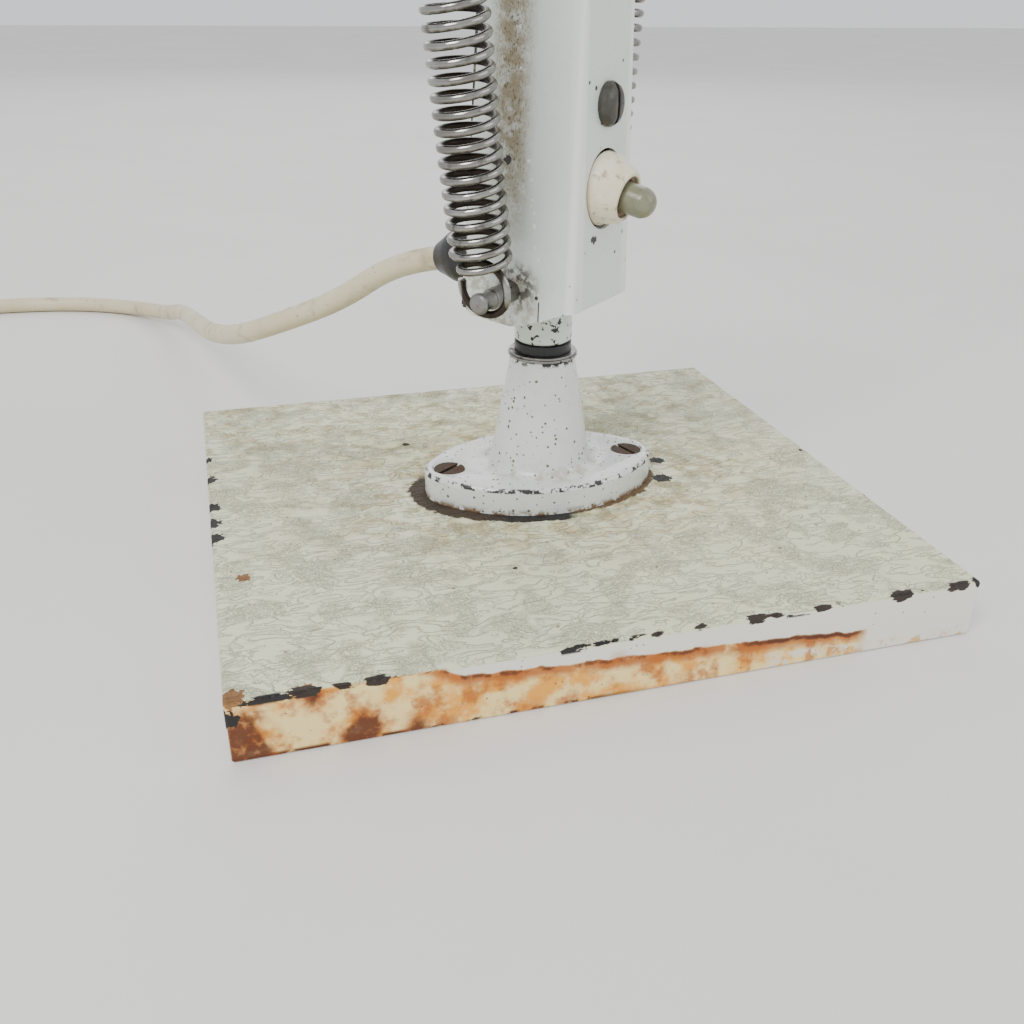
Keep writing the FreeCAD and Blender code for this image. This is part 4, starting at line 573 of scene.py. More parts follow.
CHEEK_DIRT = tone(0.22, 0.155, 0.055)
THREAD_DIRT = tone(0.085, 0.055, 0.02)
SPECK_DIRT = tone(0.10, 0.07, 0.035)
PIN_DIRT = tone(0.24, 0.17, 0.08)
OIL = tone(0.035, 0.022, 0.014)
COIL_INSIDE_TARNISH_AND_SHADE = tone(0.035, 0.024, 0.016)
COIL_UNDERSIDE_PAINTED_REFLECTION = tone(0.05, 0.036, 0.025)
CORD_SMEAR = tone(0.22, 0.17, 0.09)
CORD_SPOT = tone(0.13, 0.10, 0.06)
FLANGE = (35.2, 22.0)


@dataclass(frozen=True)
class PlateEnamel(Finish):
    """Crinkled cream enamel of the plate, with painted highlights on its wrinkle ridges and painted
    shade in their folds, rust stained at the front and chipped at its edges.
    """

    front: float = -86.0
    top: float = 16.3
    rust_end: float = 60.0
    rust_line: float = 11.0
    rust_fall: float = 0.058
    edge_stretch: Point = (0.42, 1.0, 1.0)
    edge_chips: tuple[Mark, ...] = marks(
        (69.0, -85.6, 15.8, 1.6, 2.6), (86.0, -85.6, 15.9, 1.5, 2.6), (46.0, -85.6, 15.9, 1.1, 1.8),
        (28.0, -85.7, 15.8, 1.5, 2.4), (33.5, -85.7, 15.9, 0.9, 1.8), (13.5, -85.4, 15.9, 1.0, 1.8),
        (2.0, -85.6, 16.0, 0.8, 1.4), (-64.0, -85.6, 15.9, 1.4, 2.4),
        (-72.0, -85.6, 16.0, 1.0, 2.0),
        (-81.0, -85.3, 15.8, 1.7, 2.8))
    chips: tuple[Mark, ...] = marks(
        (91.5, -84.8, 15.6, 1.5, 2.0), (-97.0, 41.7, 15.7, 2.0, 3.4), (-97.0, 26.4, 15.7, 2.8, 4.4),
        (-97.0, 7.5, 15.2, 3.2, 4.8), (-97.0, -2.5, 14.6, 3.2, 5.0), (-96.9, -11.5, 15.2, 3.2, 4.6),
        (-96.6, -84.6, 12.0, 2.6, 4.0), (-21.9, -48.0, 16.3, 0.8, 1.6), (90.6, 0.6, 16.2, 0.9, 1.4),
        (92.0, -34.2, 16.0, 0.8, 1.4), (37.5, -7.5, 16.3, 3.0, 3.6), (41.5, 5.0, 16.3, 2.4, 3.8),
        (-34.0, 38.0, 16.3, 1.2, 2.4))
    stains: tuple[Mark, ...] = marks(
        (-90.2, -34.7, 16.3, 1.9, 3.6), (-95.5, -84.0, 16.3, 3.0, 6.0),
        (-80.0, -85.0, 16.3, 2.0, 5.0))
    blotches: tuple[Mark, ...] = marks(
        (-96.5, -86.0, 3.0, 9.5, 8.0), (-68.0, -86.0, 2.6, 4.6, 8.0),
        (-78.0, -86.0, 14.4, 2.8, 5.0),
        (-57.0, -86.0, 1.0, 2.4, 4.0), (15.0, -86.0, 8.6, 1.0, 2.6), (24.0, -86.0, 7.6, 1.1, 3.0),
        (-7.0, -86.0, 10.6, 1.2, 2.6), (-28.0, -86.0, 1.0, 1.6, 2.4))

    def dress(self, look: Look) -> None:
        """Wrinkles on top with painted highlights on their ridges and painted shade in their folds,
        rust on the front edge, a broken ring round the foot, and chips.

        Args:
            look: The look to dress.
        """
        on_top = look.smooth(look.z, self.top - 0.7, self.top - 0.1)
        wrinkle = EFFECTS.use(look, Effect.WRINKLES, Vector=look.place, Scale=0.62)
        look.raise_by(look.times(wrinkle, on_top), 0.7)
        # Painted highlight: the wrinkle ridges on top are painted a lighter cream.
        look.paint(RIDGE_PAINTED_HIGHLIGHT, look.smooth(wrinkle, 0.5, 0.8), on_top, 0.55, rough=0.36)
        # Painted shade: the folds beside the wrinkle ridges are painted darker in patches.
        folds = look.band(wrinkle, (0.03, 0.1), (0.28, 0.14))
        creased = look.patches(6.0, 0.54, 0.62, 52.0, 6.0)
        look.paint(FOLD_PAINTED_SHADE, folds, creased, on_top, 0.5, rough=0.5)
        look.paint(FRECKLE, look.specks(0.3, 0.2, 0.3), on_top, 0.7, rough=0.6)
        look.paint(SIDE_CREAM, look.smooth(look.z, self.top - 0.6, self.top - 1.1), rough=0.34)
        self.ring(look, on_top)
        self.rust(look)
        front_rim = look.smooth(look.y, self.front + 1.4, self.front + 0.8)
        upper_rim = look.smooth(look.z, self.top - 2.0, self.top - 1.2)
        worn = look.patches(5.0, 0.575, 0.59, 88.0, 6.0,
                            look.vector("MULTIPLY", look.place, (0.4, 1.0, 1.0)))
        look.paint(BARE, front_rim, upper_rim, worn, rough=0.6, sink=0.12)
        self.chip(look, self.stains, CORNER_STAIN, 0.0)
        self.chip(look, self.chips, BARE)
        self.chip(look, self.edge_chips, EDGE_BROWN, stretch=self.edge_stretch)

    def ring(self, look: Look, on_top: Socket) -> None:
        """Dirt about the foot and the bare ring by its flange, brown at the left, black in front.

        Args:
            look: The look to dirty.
            on_top: Where the plate's top face is.
        """
        reach = look.oval(*FLANGE)
        halo = look.patches(6.0, 0.42, 0.62, 41.0, 7.0)
        look.paint(HALO_DIRT, look.smooth(reach, 2.9, 1.1), halo, 0.7, on_top, rough=0.6)
        rearward = look.patches(7.0, 0.46, 0.64, 55.0, 8.0)
        look.paint(REAR_DIRT, look.smooth(look.y, -5.0, 60.0), rearward, 0.6, on_top, rough=0.6)
        edge = look.ragged(reach, look.noise(look.place, 0.4, 5.0), 0.16)
        line = look.smooth(edge, 1.06, 1.03)
        look.paint(RING_LINE, line, look.smooth(look.y, 6.0, -2.0), on_top, rough=0.7)
        at_left = look.times(look.smooth(look.x, -12.0, -18.0), look.smooth(look.y, 14.0, 10.0))
        brown = look.smooth(edge, 1.15, 1.12)
        look.paint(RING_BROWN, brown, at_left, on_top, rough=0.75, sink=0.1)
        in_front = look.times(look.band(look.x, (-19.0, -16.0), (5.0, 1.0)),
                              look.smooth(look.y, -6.0, -10.0))
        black = look.smooth(edge, 1.17, 1.15)
        look.paint(BARE, black, in_front, on_top, rough=0.6, sink=0.12)

    def rust(self, look: Look) -> None:
        """Rust along the front edge: pale below, orange under its upper line, dark at the left.

        Args:
            look: The look to stain.
        """
        front = look.smooth(look.y, self.front + 0.5, self.front + 0.1)
        soft = look.noise(look.place, 0.11, 6.0, 0.6)
        line = look.math("ADD", self.rust_line, look.times(look.x, -self.rust_fall))
        lifted = look.times(look.smooth(look.x, -44.0, -56.0), 5.0)
        depth = look.math("ADD", look.math("SUBTRACT", line, look.z), lifted)
        depth = look.ragged(depth, soft, 4.0)
        stain = look.times(front, look.smooth(depth, -0.2, 0.5),
                           look.smooth(look.x, self.rust_end + 1.0, self.rust_end - 3.0))
        look.paint(RUST_CREAM, stain, rough=0.5)
        look.paint(RUST_PALE, stain, look.patches(9.0, 0.42, 0.60, 22.0, 6.0), rough=0.55)
        look.paint(RUST_LIGHT, stain, look.patches(6.0, 0.48, 0.66, 37.0, 7.0), 0.8, rough=0.6)
        upper = look.times(look.smooth(depth, 4.4, 1.6), look.patches(8.0, 0.28, 0.46, 61.0, 5.0))
        look.paint(RUST_LIGHT, stain, upper, 0.9, rough=0.6)
        seam = look.times(look.smooth(depth, 1.8, 0.9), look.patches(7.0, 0.46, 0.56, 73.0, 5.0))
        look.paint(RUST_DARK, stain, seam, 0.85, rough=0.7, sink=0.04)
        tail = look.times(look.smooth(look.x, 22.0, 34.0), look.smooth(depth, 1.7, 1.0))
        look.paint(RUST_DARK, stain, tail, 0.85, rough=0.7, sink=0.04)
        cleared = look.times(look.smooth(look.x, 26.0, 40.0), look.smooth(depth, 3.4, 4.2))
        flaked = look.patches(5.0, 0.40, 0.5, 29.0)
        look.paint(FLAKED_CREAM, stain, cleared, flaked, rough=0.4)
        foot = look.times(look.smooth(look.z, 1.8, 0.9), look.patches(8.0, 0.44, 0.52, 12.0))
        look.paint(RUST_DARK, front, foot, look.smooth(look.x, 10.0, -20.0), rough=0.7)
        fleck = look.times(look.smooth(look.z, 4.0, 1.4), look.patches(4.0, 0.50, 0.60, 18.0, 6.0))
        right = look.smooth(look.x, self.rust_end - 4.0, self.rust_end + 4.0)
        look.paint(RUST_FLECK, front, fleck, right, 0.8, rough=0.6)
        for blotch in self.blotches:
            apart = look.vector("DISTANCE", look.place, blotch.centre, "Value")
            edge = look.ragged(apart, soft, 2.4 * blotch.ragged)
            for spread, colour, share in ((2.8, RUST_LIGHT, 0.8), (0.6, RUST_DARK, 0.9)):
                mask = look.smooth(edge, blotch.radius + spread, blotch.radius - 2.4)
                broken = look.patches(2.6, 0.28, 0.5, 90.0 + spread, 6.0)
                look.paint(colour, front, mask, broken, share, rough=0.68)
        look.paint(RUST_DOT, look.specks(0.6, 0.34, 0.16), front, rough=0.7)


@dataclass(frozen=True)
class FootEnamel(Finish):
    """White enamel of the cast foot, speckled, with a chipped rim and grime in its corners."""

    flange_top: float = 24.5

    def dress(self, look: Look) -> None:
        """A broken black line round the flange's rim and dirt where the neck meets it.

        Args:
            look: The look to dress.
        """
        top = self.flange_top
        rim = look.times(look.smooth(look.oval(*FLANGE), 0.915, 0.94),
                         look.band(look.z, (top - 1.7, top - 1.2), (top - 0.05, top - 0.4)))
        worn = look.patches(2.2, 0.5, 0.53, 17.0, 5.0)
        look.paint(BARE, rim, worn, look.smooth(look.y, 12.0, 2.0), rough=0.65, sink=0.1)
        root = look.times(look.smooth(look.oval(1.0, 1.0), 20.5, 15.5),
                          look.band(look.z, (top + 5.0, top), (top - 0.6, top - 0.2)))
        look.paint(ROOT_DIRT, root, look.patches(4.0, 0.44, 0.64, 8.0, 7.0), 0.6, rough=0.7)
        low = look.smooth(look.z, 18.6, 16.4)
        look.paint(SEAM_DIRT, low, look.patches(2.6, 0.42, 0.55, 5.0, 6.0), rough=0.75)
        lip = look.smooth(look.z, 55.5, 56.6)
        look.paint(BARE, lip, look.patches(1.8, 0.48, 0.52, 7.0), rough=0.6, sink=0.05)


@dataclass(frozen=True)
class PillarEnamel(Finish):
    """Pale enamel of the folded pillar, dirty beside the springs, with a few chips, a painted
    highlight along its front bend, painted glints along a crease and painted shade along its back
    hem.
    """

    chips: tuple[Mark, ...] = marks(
        (-15.3, 2.7, 111.9, 1.2, 2.2), (-16.1, -17.2, 82.5, 0.8, 1.2),
        (-6.0, -17.6, 92.9, 1.0, 1.2),
        (-4.6, -17.6, 92.8, 0.9, 1.2), (-5.2, -17.6, 92.1, 0.8, 1.0),
        (-3.0, -17.3, 121.0, 0.7, 1.2),
        (8.5, -17.3, 88.0, 0.5, 1.0), (15.8, -6.0, 80.0, 1.2, 2.4), (14.9, 4.0, 120.0, 1.1, 2.2))
    oil: tuple[Mark, ...] = marks((-16.4, -0.8, 80.5, 5.6, 0.0), (16.4, -0.8, 80.5, 5.6, 0.0))
    crease_slope: float = -0.138
    crease_level: float = 86.9

    def dress(self, look: Look) -> None:
        """Yellow-brown dirt on the cheeks behind the springs, a painted highlight along the front
        bend, painted glints along a crease line, painted shade along the back hem, and chips.

        Args:
            look: The look to dress.
        """
        side = look.off(look.x, 0.0, 10.0, 11.5)
        band = look.times(side, look.band(look.y, (-6.0, 1.0), (9.5, 4.0)))
        rise = look.smooth(look.z, 84.0, 116.0)
        dirt = look.patches(3.2, 0.24, 0.56, 26.0, 8.0)
        look.paint(CHEEK_DIRT, band, dirt, rise, 0.85, rough=0.6)
        threads = look.patches(1 / 1.3, 0.52, 0.62, 6.0, 6.0,
                               look.vector("MULTIPLY", look.place, (1.0, 1.6, 0.8)))
        look.paint(THREAD_DIRT, threads, rise, band, 0.75, rough=0.65)
        look.paint(SPECK_DIRT, look.specks(1.1, 0.4, 0.3), band, 0.8, rough=0.7)
        pins = look.times(side, look.smooth(look.z, 87.0, 82.0), look.smooth(look.y, -9.0, -5.0))
        look.paint(PIN_DIRT, pins, look.patches(2.4, 0.4, 0.62, 34.0, 7.0), 0.6, rough=0.65)
        # Painted highlight: a glossy lighter line along the bend between the front face and the
        # cheeks.
        bend = look.band(look.y, (-15.4, -16.6), (-18.6, -17.4))
        look.paint(BEND_PAINTED_HIGHLIGHT, side, bend, 0.7, rough=0.16)
        # Painted glints: small beads along the crease are raised a little and painted a lighter
        # cream.
        above = look.math("SUBTRACT", look.z, self.crease_level)
        crease = look.math("ADD", look.y, look.times(above, self.crease_slope))
        line = look.band(crease, (-8.1, -7.4), (-6.2, -6.9))
        bright = look.times(side, line, look.specks(0.7, 0.62, 0.6))
        look.paint(CREASE_PAINTED_GLINTS, bright, rough=0.2, sink=-0.05)
        # Painted shade: the back hem is painted near black in broken patches, where the folded-back
        # flange lies in shade.
        painted_shade_hem = look.smooth(look.y, 14.6, 15.4)
        look.paint(BARE, painted_shade_hem, look.patches(6.0, 0.42, 0.46, 31.0), side, rough=0.6)
        crack = look.times(look.off(look.y, -8.0, 0.28, 0.1), look.off(look.z, 74.5, 3.0, 2.4))
        look.paint(BARE, crack, look.smooth(look.x, -13.0, -14.0), rough=0.7, sink=0.08)
        base = look.smooth(look.z, 71.6, 69.6)
        look.paint(BARE, base, look.patches(3.0, 0.58, 0.61, 15.0), rough=0.7)
        for mark in self.oil:
            apart = look.vector("DISTANCE", look.place, mark.centre, "Value")
            mask = look.smooth(apart, mark.radius + 2.5, mark.radius - 2.0)
            look.paint(OIL, mask, look.patches(1.8, 0.42, 0.56, 3.0, 6.0), 0.85, rough=0.35)
        self.chip(look, self.chips, BARE)


@dataclass(frozen=True)
class BrushedMetal(Finish):
    """Bare or plated metal with fine scratches and tarnish in its patches."""

    scratch: float = 0.012
    stretch: Point = (0.06, 0.06, 1.0)

    def dress(self, look: Look) -> None:
        """Lays fine scratches along the piece and dulls the tarnished patches.

        Args:
            look: The look to dress.
        """
        drawn = look.vector("MULTIPLY", look.place, self.stretch)
        look.raise_by(look.noise(drawn, 9.0, 3.0), self.scratch)
        tarnish = look.patches(4.5, 0.5, 0.72, 77.0, 6.0)
        look.roughness = look.level(tarnish, look.roughness, min(0.85, self.roughness + 0.3))


@dataclass(frozen=True)
class CoilSteel(BrushedMetal):
    """Chromed wire of the springs, dull and darkened on the inside of its coils with painted shade
    and brown tarnish, and with a painted dark reflection on its underside.
    """

    axis_start: Point = (28.2, 0.8, 78.8)
    axis: Point = (0.14902, 0.02003, 0.98863)
    coil_radius: float = 7.0

    def dress(self, look: Look) -> None:
        """Scratches the wire, paints shade with brown tarnish where it faces the coil's axis, and
        paints a dark reflection where it faces the floor.

        Args:
            look: The look to dress.
        """
        super().dress(look)
        folded = look.add("ShaderNodeCombineXYZ", None, {
            0: look.math("ABSOLUTE", look.x), 1: look.y, 2: look.z}).outputs[0]
        beside = look.vector("SUBTRACT", folded, self.axis_start)
        lever = look.vector("CROSS_PRODUCT", beside, self.axis)
        apart = look.vector("LENGTH", lever, output="Value")
        # Painted shade with brown tarnish: the side of the wire that faces the coil's axis is
        # darkened.
        inside = look.smooth(apart, self.coil_radius + 0.1, self.coil_radius - 0.6)
        look.paint(COIL_INSIDE_TARNISH_AND_SHADE, inside, 0.92, rough=0.5)
        # Painted reflection: the side of the wire facing the floor is darkened in patches, as the
        # dark floor would show in the chrome.
        facing = look.add("ShaderNodeNewGeometry").outputs["Normal"]
        upward = look.add("ShaderNodeSeparateXYZ", None, {0: facing}).outputs[2]
        below = look.smooth(upward, -0.15, -0.6)
        look.paint(COIL_UNDERSIDE_PAINTED_REFLECTION, below, look.patches(3.0, 0.3, 0.6, 44.0, 5.0), 0.75, rough=0.4)


@dataclass(frozen=True)
class CordRubber(Finish):
    """Ivory rubber of the mains cord, rubbed dirty in places."""

    def dress(self, look: Look) -> None:
        """Grey and brown smears."""
        look.paint(CORD_SMEAR, look.patches(11.0, 0.55, 0.72, 13.0, 7.0), 0.55, rough=0.65)
        look.paint(CORD_SPOT, look.patches(1.6, 0.64, 0.7, 47.0, 4.0), 0.6, rough=0.7)


FINISHES: dict[str, Finish] = {finish.name: finish for finish in (
    PlateEnamel(
        "plate_enamel", tone(0.66, 0.675, 0.475), tone(0.69, 0.685, 0.46), tone(0.46, 0.38, 0.18),
        0.40, grime=Grime(14.0, 0.58, 0.78, 0.25), tone_size=40.0, grain=(0.02, 0.9)),
    FootEnamel(
        "foot_enamel", tone(0.70, 0.73, 0.69), tone(0.62, 0.65, 0.61), tone(0.28, 0.24, 0.17),
        0.30, grime=Grime(6.0, 0.58, 0.76, 0.35), coat=0.35,
        specks=Specks(0.44, 1.3, 0.5, tone(0.12, 0.10, 0.07)), grain=(0.05, 1.6)),
    PillarEnamel(
        "pillar_enamel", tone(0.68, 0.725, 0.675), tone(0.65, 0.695, 0.64), tone(0.40, 0.35, 0.22),
        0.25, grime=Grime(14.0, 0.6, 0.8, 0.2), coat=0.4, specks=Specks(0.24, 3.4, 0.2),
        grain=(0.035, 2.4), turn=PILLAR_TURN),
    Finish(
        "arm_enamel", tone(0.69, 0.73, 0.67), tone(0.65, 0.69, 0.63), tone(0.38, 0.32, 0.2), 0.26,
        grime=Grime(12.0, 0.58, 0.76, 0.3), coat=0.4, specks=Specks(0.24, 3.4, 0.2),
        grain=(0.035, 2.4)),
    BrushedMetal(
        "rusty_steel", tone(0.04, 0.028, 0.02), tone(0.075, 0.045, 0.027), tone(0.11, 0.05, 0.022),
        0.65, metallic=0.55, grime=Grime(1.6, 0.45, 0.6), grain=(0.08, 0.6)),
    BrushedMetal(
        "zinc_steel", tone(0.31, 0.305, 0.295), tone(0.20, 0.19, 0.175), tone(0.07, 0.05, 0.035),
        0.34, metallic=0.95, grime=Grime(3.0, 0.56, 0.7, 0.7), specks=Specks(0.4, 1.8),
        grain=(0.015, 0.8)),
    # The springs' base colour is darker than clean chrome's own: a painted dark reflection of the
    # floor.
    CoilSteel(
        "spring_steel", tone(0.40, 0.395, 0.38), tone(0.24, 0.23, 0.21), tone(0.05, 0.038, 0.026),
        0.14, metallic=1.0, grime=Grime(5.0, 0.56, 0.7, 0.7), rough_spread=0.1,
        grain=(0.006, 0.9), scratch=0.004, turn=PILLAR_TURN),
    BrushedMetal(
        "brown_steel", tone(0.085, 0.085, 0.075), tone(0.055, 0.052, 0.045), tone(0.13, 0.09, 0.05),
        0.34, metallic=0.7, grime=Grime(2.6, 0.5, 0.64), grain=(0.03, 0.7)),
    Finish(
        "black_rubber", tone(0.007, 0.007, 0.008), tone(0.012, 0.012, 0.012),
        tone(0.05, 0.04, 0.03),
        0.36, grime=Grime(4.0, share=0.2), grain=(0.03, 0.8)),
    Finish(
        "black_steel", tone(0.014, 0.014, 0.014), tone(0.022, 0.021, 0.019), tone(0.10, 0.08, 0.05),
        0.36, grime=Grime(7.0), specks=Specks(0.4, colour=tone(0.2, 0.16, 0.1)), coat=0.2),
    Finish(
        "cream_moulding", tone(0.80, 0.74, 0.57), tone(0.72, 0.64, 0.45), tone(0.16, 0.09, 0.04),
        0.3, grime=Grime(3.2, 0.56, 0.66), tone_size=6.0, coat=0.25,
        specks=Specks(0.22, 1.6, 0.2, tone(0.2, 0.13, 0.07))),
    Finish(
        "brown_moulding", tone(0.13, 0.075, 0.035), tone(0.26, 0.17, 0.085),
        tone(0.03, 0.02, 0.012),
        0.5, grime=Grime(1.6, 0.5, 0.62), grain=(0.05, 0.5)),
    Finish(
        "sage_moulding", tone(0.215, 0.215, 0.135), tone(0.165, 0.165, 0.10),
        tone(0.12, 0.09, 0.05),
        0.26, grime=Grime(3.0, 0.56, 0.7), tone_size=4.0, coat=0.3, grain=(0.012, 1.2)),
    Finish(
        "black_moulding", tone(0.014, 0.012, 0.011), tone(0.024, 0.019, 0.016),
        tone(0.09, 0.07, 0.05), 0.28, grime=Grime(5.0), coat=0.25, grain=(0.018, 1.2)),
    CordRubber(
        "cord_jacket", tone(0.66, 0.60, 0.42), tone(0.60, 0.53, 0.35), tone(0.30, 0.23, 0.12),
        0.42, grime=Grime(16.0), tone_size=20.0, grain=(0.03, 1.6)),
    Finish(
        "plug_moulding", tone(0.66, 0.60, 0.44), tone(0.58, 0.51, 0.36), tone(0.26, 0.19, 0.10),
        0.34, grime=Grime(8.0), specks=Specks(0.35, 2.6), coat=0.15),
    BrushedMetal(
        "brass", tone(0.68, 0.50, 0.22), tone(0.50, 0.34, 0.13), tone(0.12, 0.08, 0.04), 0.26,
        metallic=1.0, grime=Grime(3.0), grain=(0.01, 0.7)),
    BrushedMetal(
        "bright_aluminium", tone(0.82, 0.83, 0.84), tone(0.72, 0.73, 0.74), tone(0.35, 0.33, 0.3),
        0.16, metallic=1.0, rough_spread=0.08, grime=Grime(share=0.2), grain=(0.004, 1.2),
        scratch=0.003),
    BrushedMetal(
        "rim_chrome", tone(0.66, 0.66, 0.65), tone(0.56, 0.55, 0.53), tone(0.09, 0.07, 0.05), 0.14,
        metallic=1.0, rough_spread=0.08, grime=Grime(4.0, 0.6, 0.74),
        specks=Specks(0.35, 2.0, 0.3), grain=(0.006, 1.2), scratch=0.004),
    Finish(
        "clear_glass", tone(0.93, 0.96, 0.95), tone(0.89, 0.93, 0.92), tone(0.6, 0.58, 0.5), 0.06,
        rough_spread=0.05, grime=Grime(share=0.15), transmission=1.0, grain=(0.004, 6.0)),
    Finish(
        "bulb_glass", tone(0.90, 0.89, 0.84), tone(0.85, 0.84, 0.78), tone(0.5, 0.46, 0.38), 0.38,
        rough_spread=0.1, grime=Grime(share=0.15), transmission=0.6, grain=(0.004, 4.0)))}
FLOOR = Finish(
    "pale_floor", tone(0.76, 0.75, 0.73), tone(0.73, 0.72, 0.70), tone(0.7, 0.69, 0.67), 0.62,
    tone_size=160.0, grime=Grime(share=0.15), grain=(0.01, 2.0))


class Dresser:
    """Gives pieces their finishes, each built once."""

    def __init__(self) -> None:
        """Reads which finish each node of the record takes."""
        self.slots = {row["node"]: row["material_slot"] for row in frame["record"]["subparts"]}
        self.made: dict[str, bpy.types.Material] = {}

    def material(self, slot: str) -> bpy.types.Material:
        """The material of a slot, built at its first use.

        Args:
            slot: The record's slot.

        Returns:
            Its material.
        """
        if slot not in self.made:
            self.made[slot] = FINISHES[slot].build()
        return self.made[slot]

    def dress(self, piece: bpy.types.Object, slot: str) -> None:
        """Puts a slot's finish on a piece."""
        piece.data.materials.clear()
        piece.data.materials.append(self.material(slot))

    def add_piece(self, name: str, data: bpy.types.ID, slot: str,
                  body: str | None) -> bpy.types.Object:
        """Makes a piece of a finished mesh or curve.

        Args:
            name: The piece's name.
            data: Its mesh or curve, in the lamp's frame and in metres.
            slot: The record's slot for its finish.
            body: The body it rides on, or None to leave it on no body.

        Returns:
            The new object.
        """
        piece = put(name, data)
        self.dress(piece, slot)
        if body:
            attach(piece, body)
        LOG.info("made %s", name)
        return piece


class Repeats:
    """Geometry node trees for what repeats round a ring or follows a line."""

    def __init__(self, dresser: Dresser) -> None:
        """Builds the two trees."""
        self.dresser = dresser
        self.ring = self.ring_tree()
        self.sweep = self.sweep_tree()

    def close_tree(self, graph: Graph, finish: Socket, shape: Socket) -> bpy.types.NodeTree:
        """Ends a tree with real geometry in its finish.

        Args:
            graph: The tree's graph.
            finish: The material that the tree is given.
            shape: The geometry to end with.

        Returns:
            The finished tree.
        """
        real = graph.add("GeometryNodeRealizeInstances", None, {0: shape}).outputs[0]
        soft = graph.add("GeometryNodeSetShadeSmooth", None, {0: real}).outputs[0]
        graph.close(graph.add("GeometryNodeSetMaterial", None, {
            "Geometry": soft, "Material": finish}).outputs[0])
        return graph.tree

    def ring_tree(self) -> bpy.types.NodeTree:
        """Rounded studs or ribs stood round a ring about Z.

        Returns:
            The tree.
        """
        graph, given = open_tree("GeometryNodeTree", "ring_of_ribs", {
            "Geometry": SHAPE, "Count": "NodeSocketInt", "Ring": NUMBER, "Size": VECTOR,
            "Finish": FINISH}, SHAPE)
        step = graph.math("DIVIDE", 2 * math.pi, given["Count"])
        angle = graph.times(graph.add("GeometryNodeInputIndex").outputs[0], step)
        place = graph.add("ShaderNodeCombineXYZ", None, {
            axis: graph.times(graph.math(wave, angle), given["Ring"])
            for axis, wave in enumerate(("COSINE", "SINE"))}).outputs[0]
        places = graph.add("GeometryNodePoints", None, {
            "Count": given["Count"], "Position": place}).outputs[0]
        rib = graph.add("GeometryNodeMeshUVSphere", None, {
            "Segments": 12, "Rings": 8, "Radius": 0.5}).outputs[0]
        facing = graph.add("FunctionNodeAlignRotationToVector", {"axis": "X"}, {
            "Vector": graph.add("GeometryNodeInputPosition").outputs[0]}).outputs[0]
        stood = graph.add("GeometryNodeInstanceOnPoints", None, {
            "Points": places, "Instance": rib, "Rotation": facing,
            "Scale": given["Size"]}).outputs[0]
        return self.close_tree(graph, given["Finish"], stood)

    def sweep_tree(self) -> bpy.types.NodeTree:
        """A round wire swept along the edges of the object's own mesh.

        Returns:
            The tree.
        """
        graph, given = open_tree("GeometryNodeTree", "wire_along_line", {
            "Geometry": SHAPE, "Wire radius": NUMBER, "Sides": "NodeSocketInt",
            "Finish": FINISH}, SHAPE)
        line = graph.add("GeometryNodeMeshToCurve", None, {0: given["Geometry"]}).outputs[0]
        section = graph.add("GeometryNodeCurvePrimitiveCircle", None, {
            "Resolution": given["Sides"], "Radius": given["Wire radius"]}).outputs[0]
        wire = graph.add("GeometryNodeCurveToMesh", None, {
            "Curve": line, "Profile Curve": section, "Fill Caps": True}).outputs[0]
        return self.close_tree(graph, given["Finish"], wire)

    def run(self, tree: bpy.types.NodeTree, mesh: Mesh, slot: str, values: dict) -> Mesh:
        """Runs a tree on a mesh.

        Args:
            tree: The geometry tree.
            mesh: What it starts from.
            slot: The finish's slot.
            values: The tree's other inputs by name.

        Returns:
            The result as a plain mesh.
        """
        values = values | {"Finish": self.dresser.material(slot)}
        inputs = {item.identifier: values[item.name] for item in tree.interface.items_tree
                  if item.in_out == "INPUT" and item.name in values}
        return modified(mesh, "NODES", {"node_group": tree}, inputs)

    def ring_mesh(self, count: int, ring: float, size: Point, slot: str, place: Matrix) -> Mesh:
        """Studs or ribs round a ring.

        Args:
            count: How many there are.
            ring: The ring's radius in millimetres.
            size: Each one's radial, tangential and axial size in millimetres.
            slot: The finish's slot.
            place: The ring's frame, in millimetres.

        Returns:
            The mesh in the lamp's frame, in metres.
        """
        values = {"Count": count, "Ring": ring, "Size": size}
        made = self.run(self.ring, bpy.data.meshes.new("ring"), slot, values)
        made.transform(Matrix.Scale(MM, 4) @ place)
        return made

    def wire_mesh(self, points: list[Vector], radius: float, sides: int, slot: str) -> Mesh:
        """A wire along a line of points.

        Args:
            points: The line's points in millimetres.
            radius: The wire's radius in millimetres.
            sides: How many sides its section has.
            slot: The finish's slot.

        Returns:
            The mesh in metres.
        """
        line = bpy.data.meshes.new("line")
        edges = [(i, i + 1) for i in range(len(points) - 1)]
        line.from_pydata([point * MM for point in points], edges, [])
        return self.run(self.sweep, line, slot, {"Wire radius": radius * MM, "Sides": sides})


@dataclass(frozen=True)
class Posture:
    """The arms' rest posture, from the shoulder on: each link's bend about X and length."""

    shoulder: Point = (0.0, -3.0, 228.0)
    lower_arm: Span = (-12.0, 240.0)
    upper_arm: Span = (114.0, 180.0)
    yoke: Span = (0.0, 62.0)
    head_tilt: Span = (33.0, 0.0)

    def head(self) -> Matrix:
        """Frame of the head, Z along its beam.

        Returns:
            The frame, in millimetres.
        """
        place = PILLAR @ moved(*self.shoulder)
        for bend, length in (self.lower_arm, self.upper_arm, self.yoke, self.head_tilt):
            place = place @ turned("X", bend) @ moved(0, 0, length)
        return place


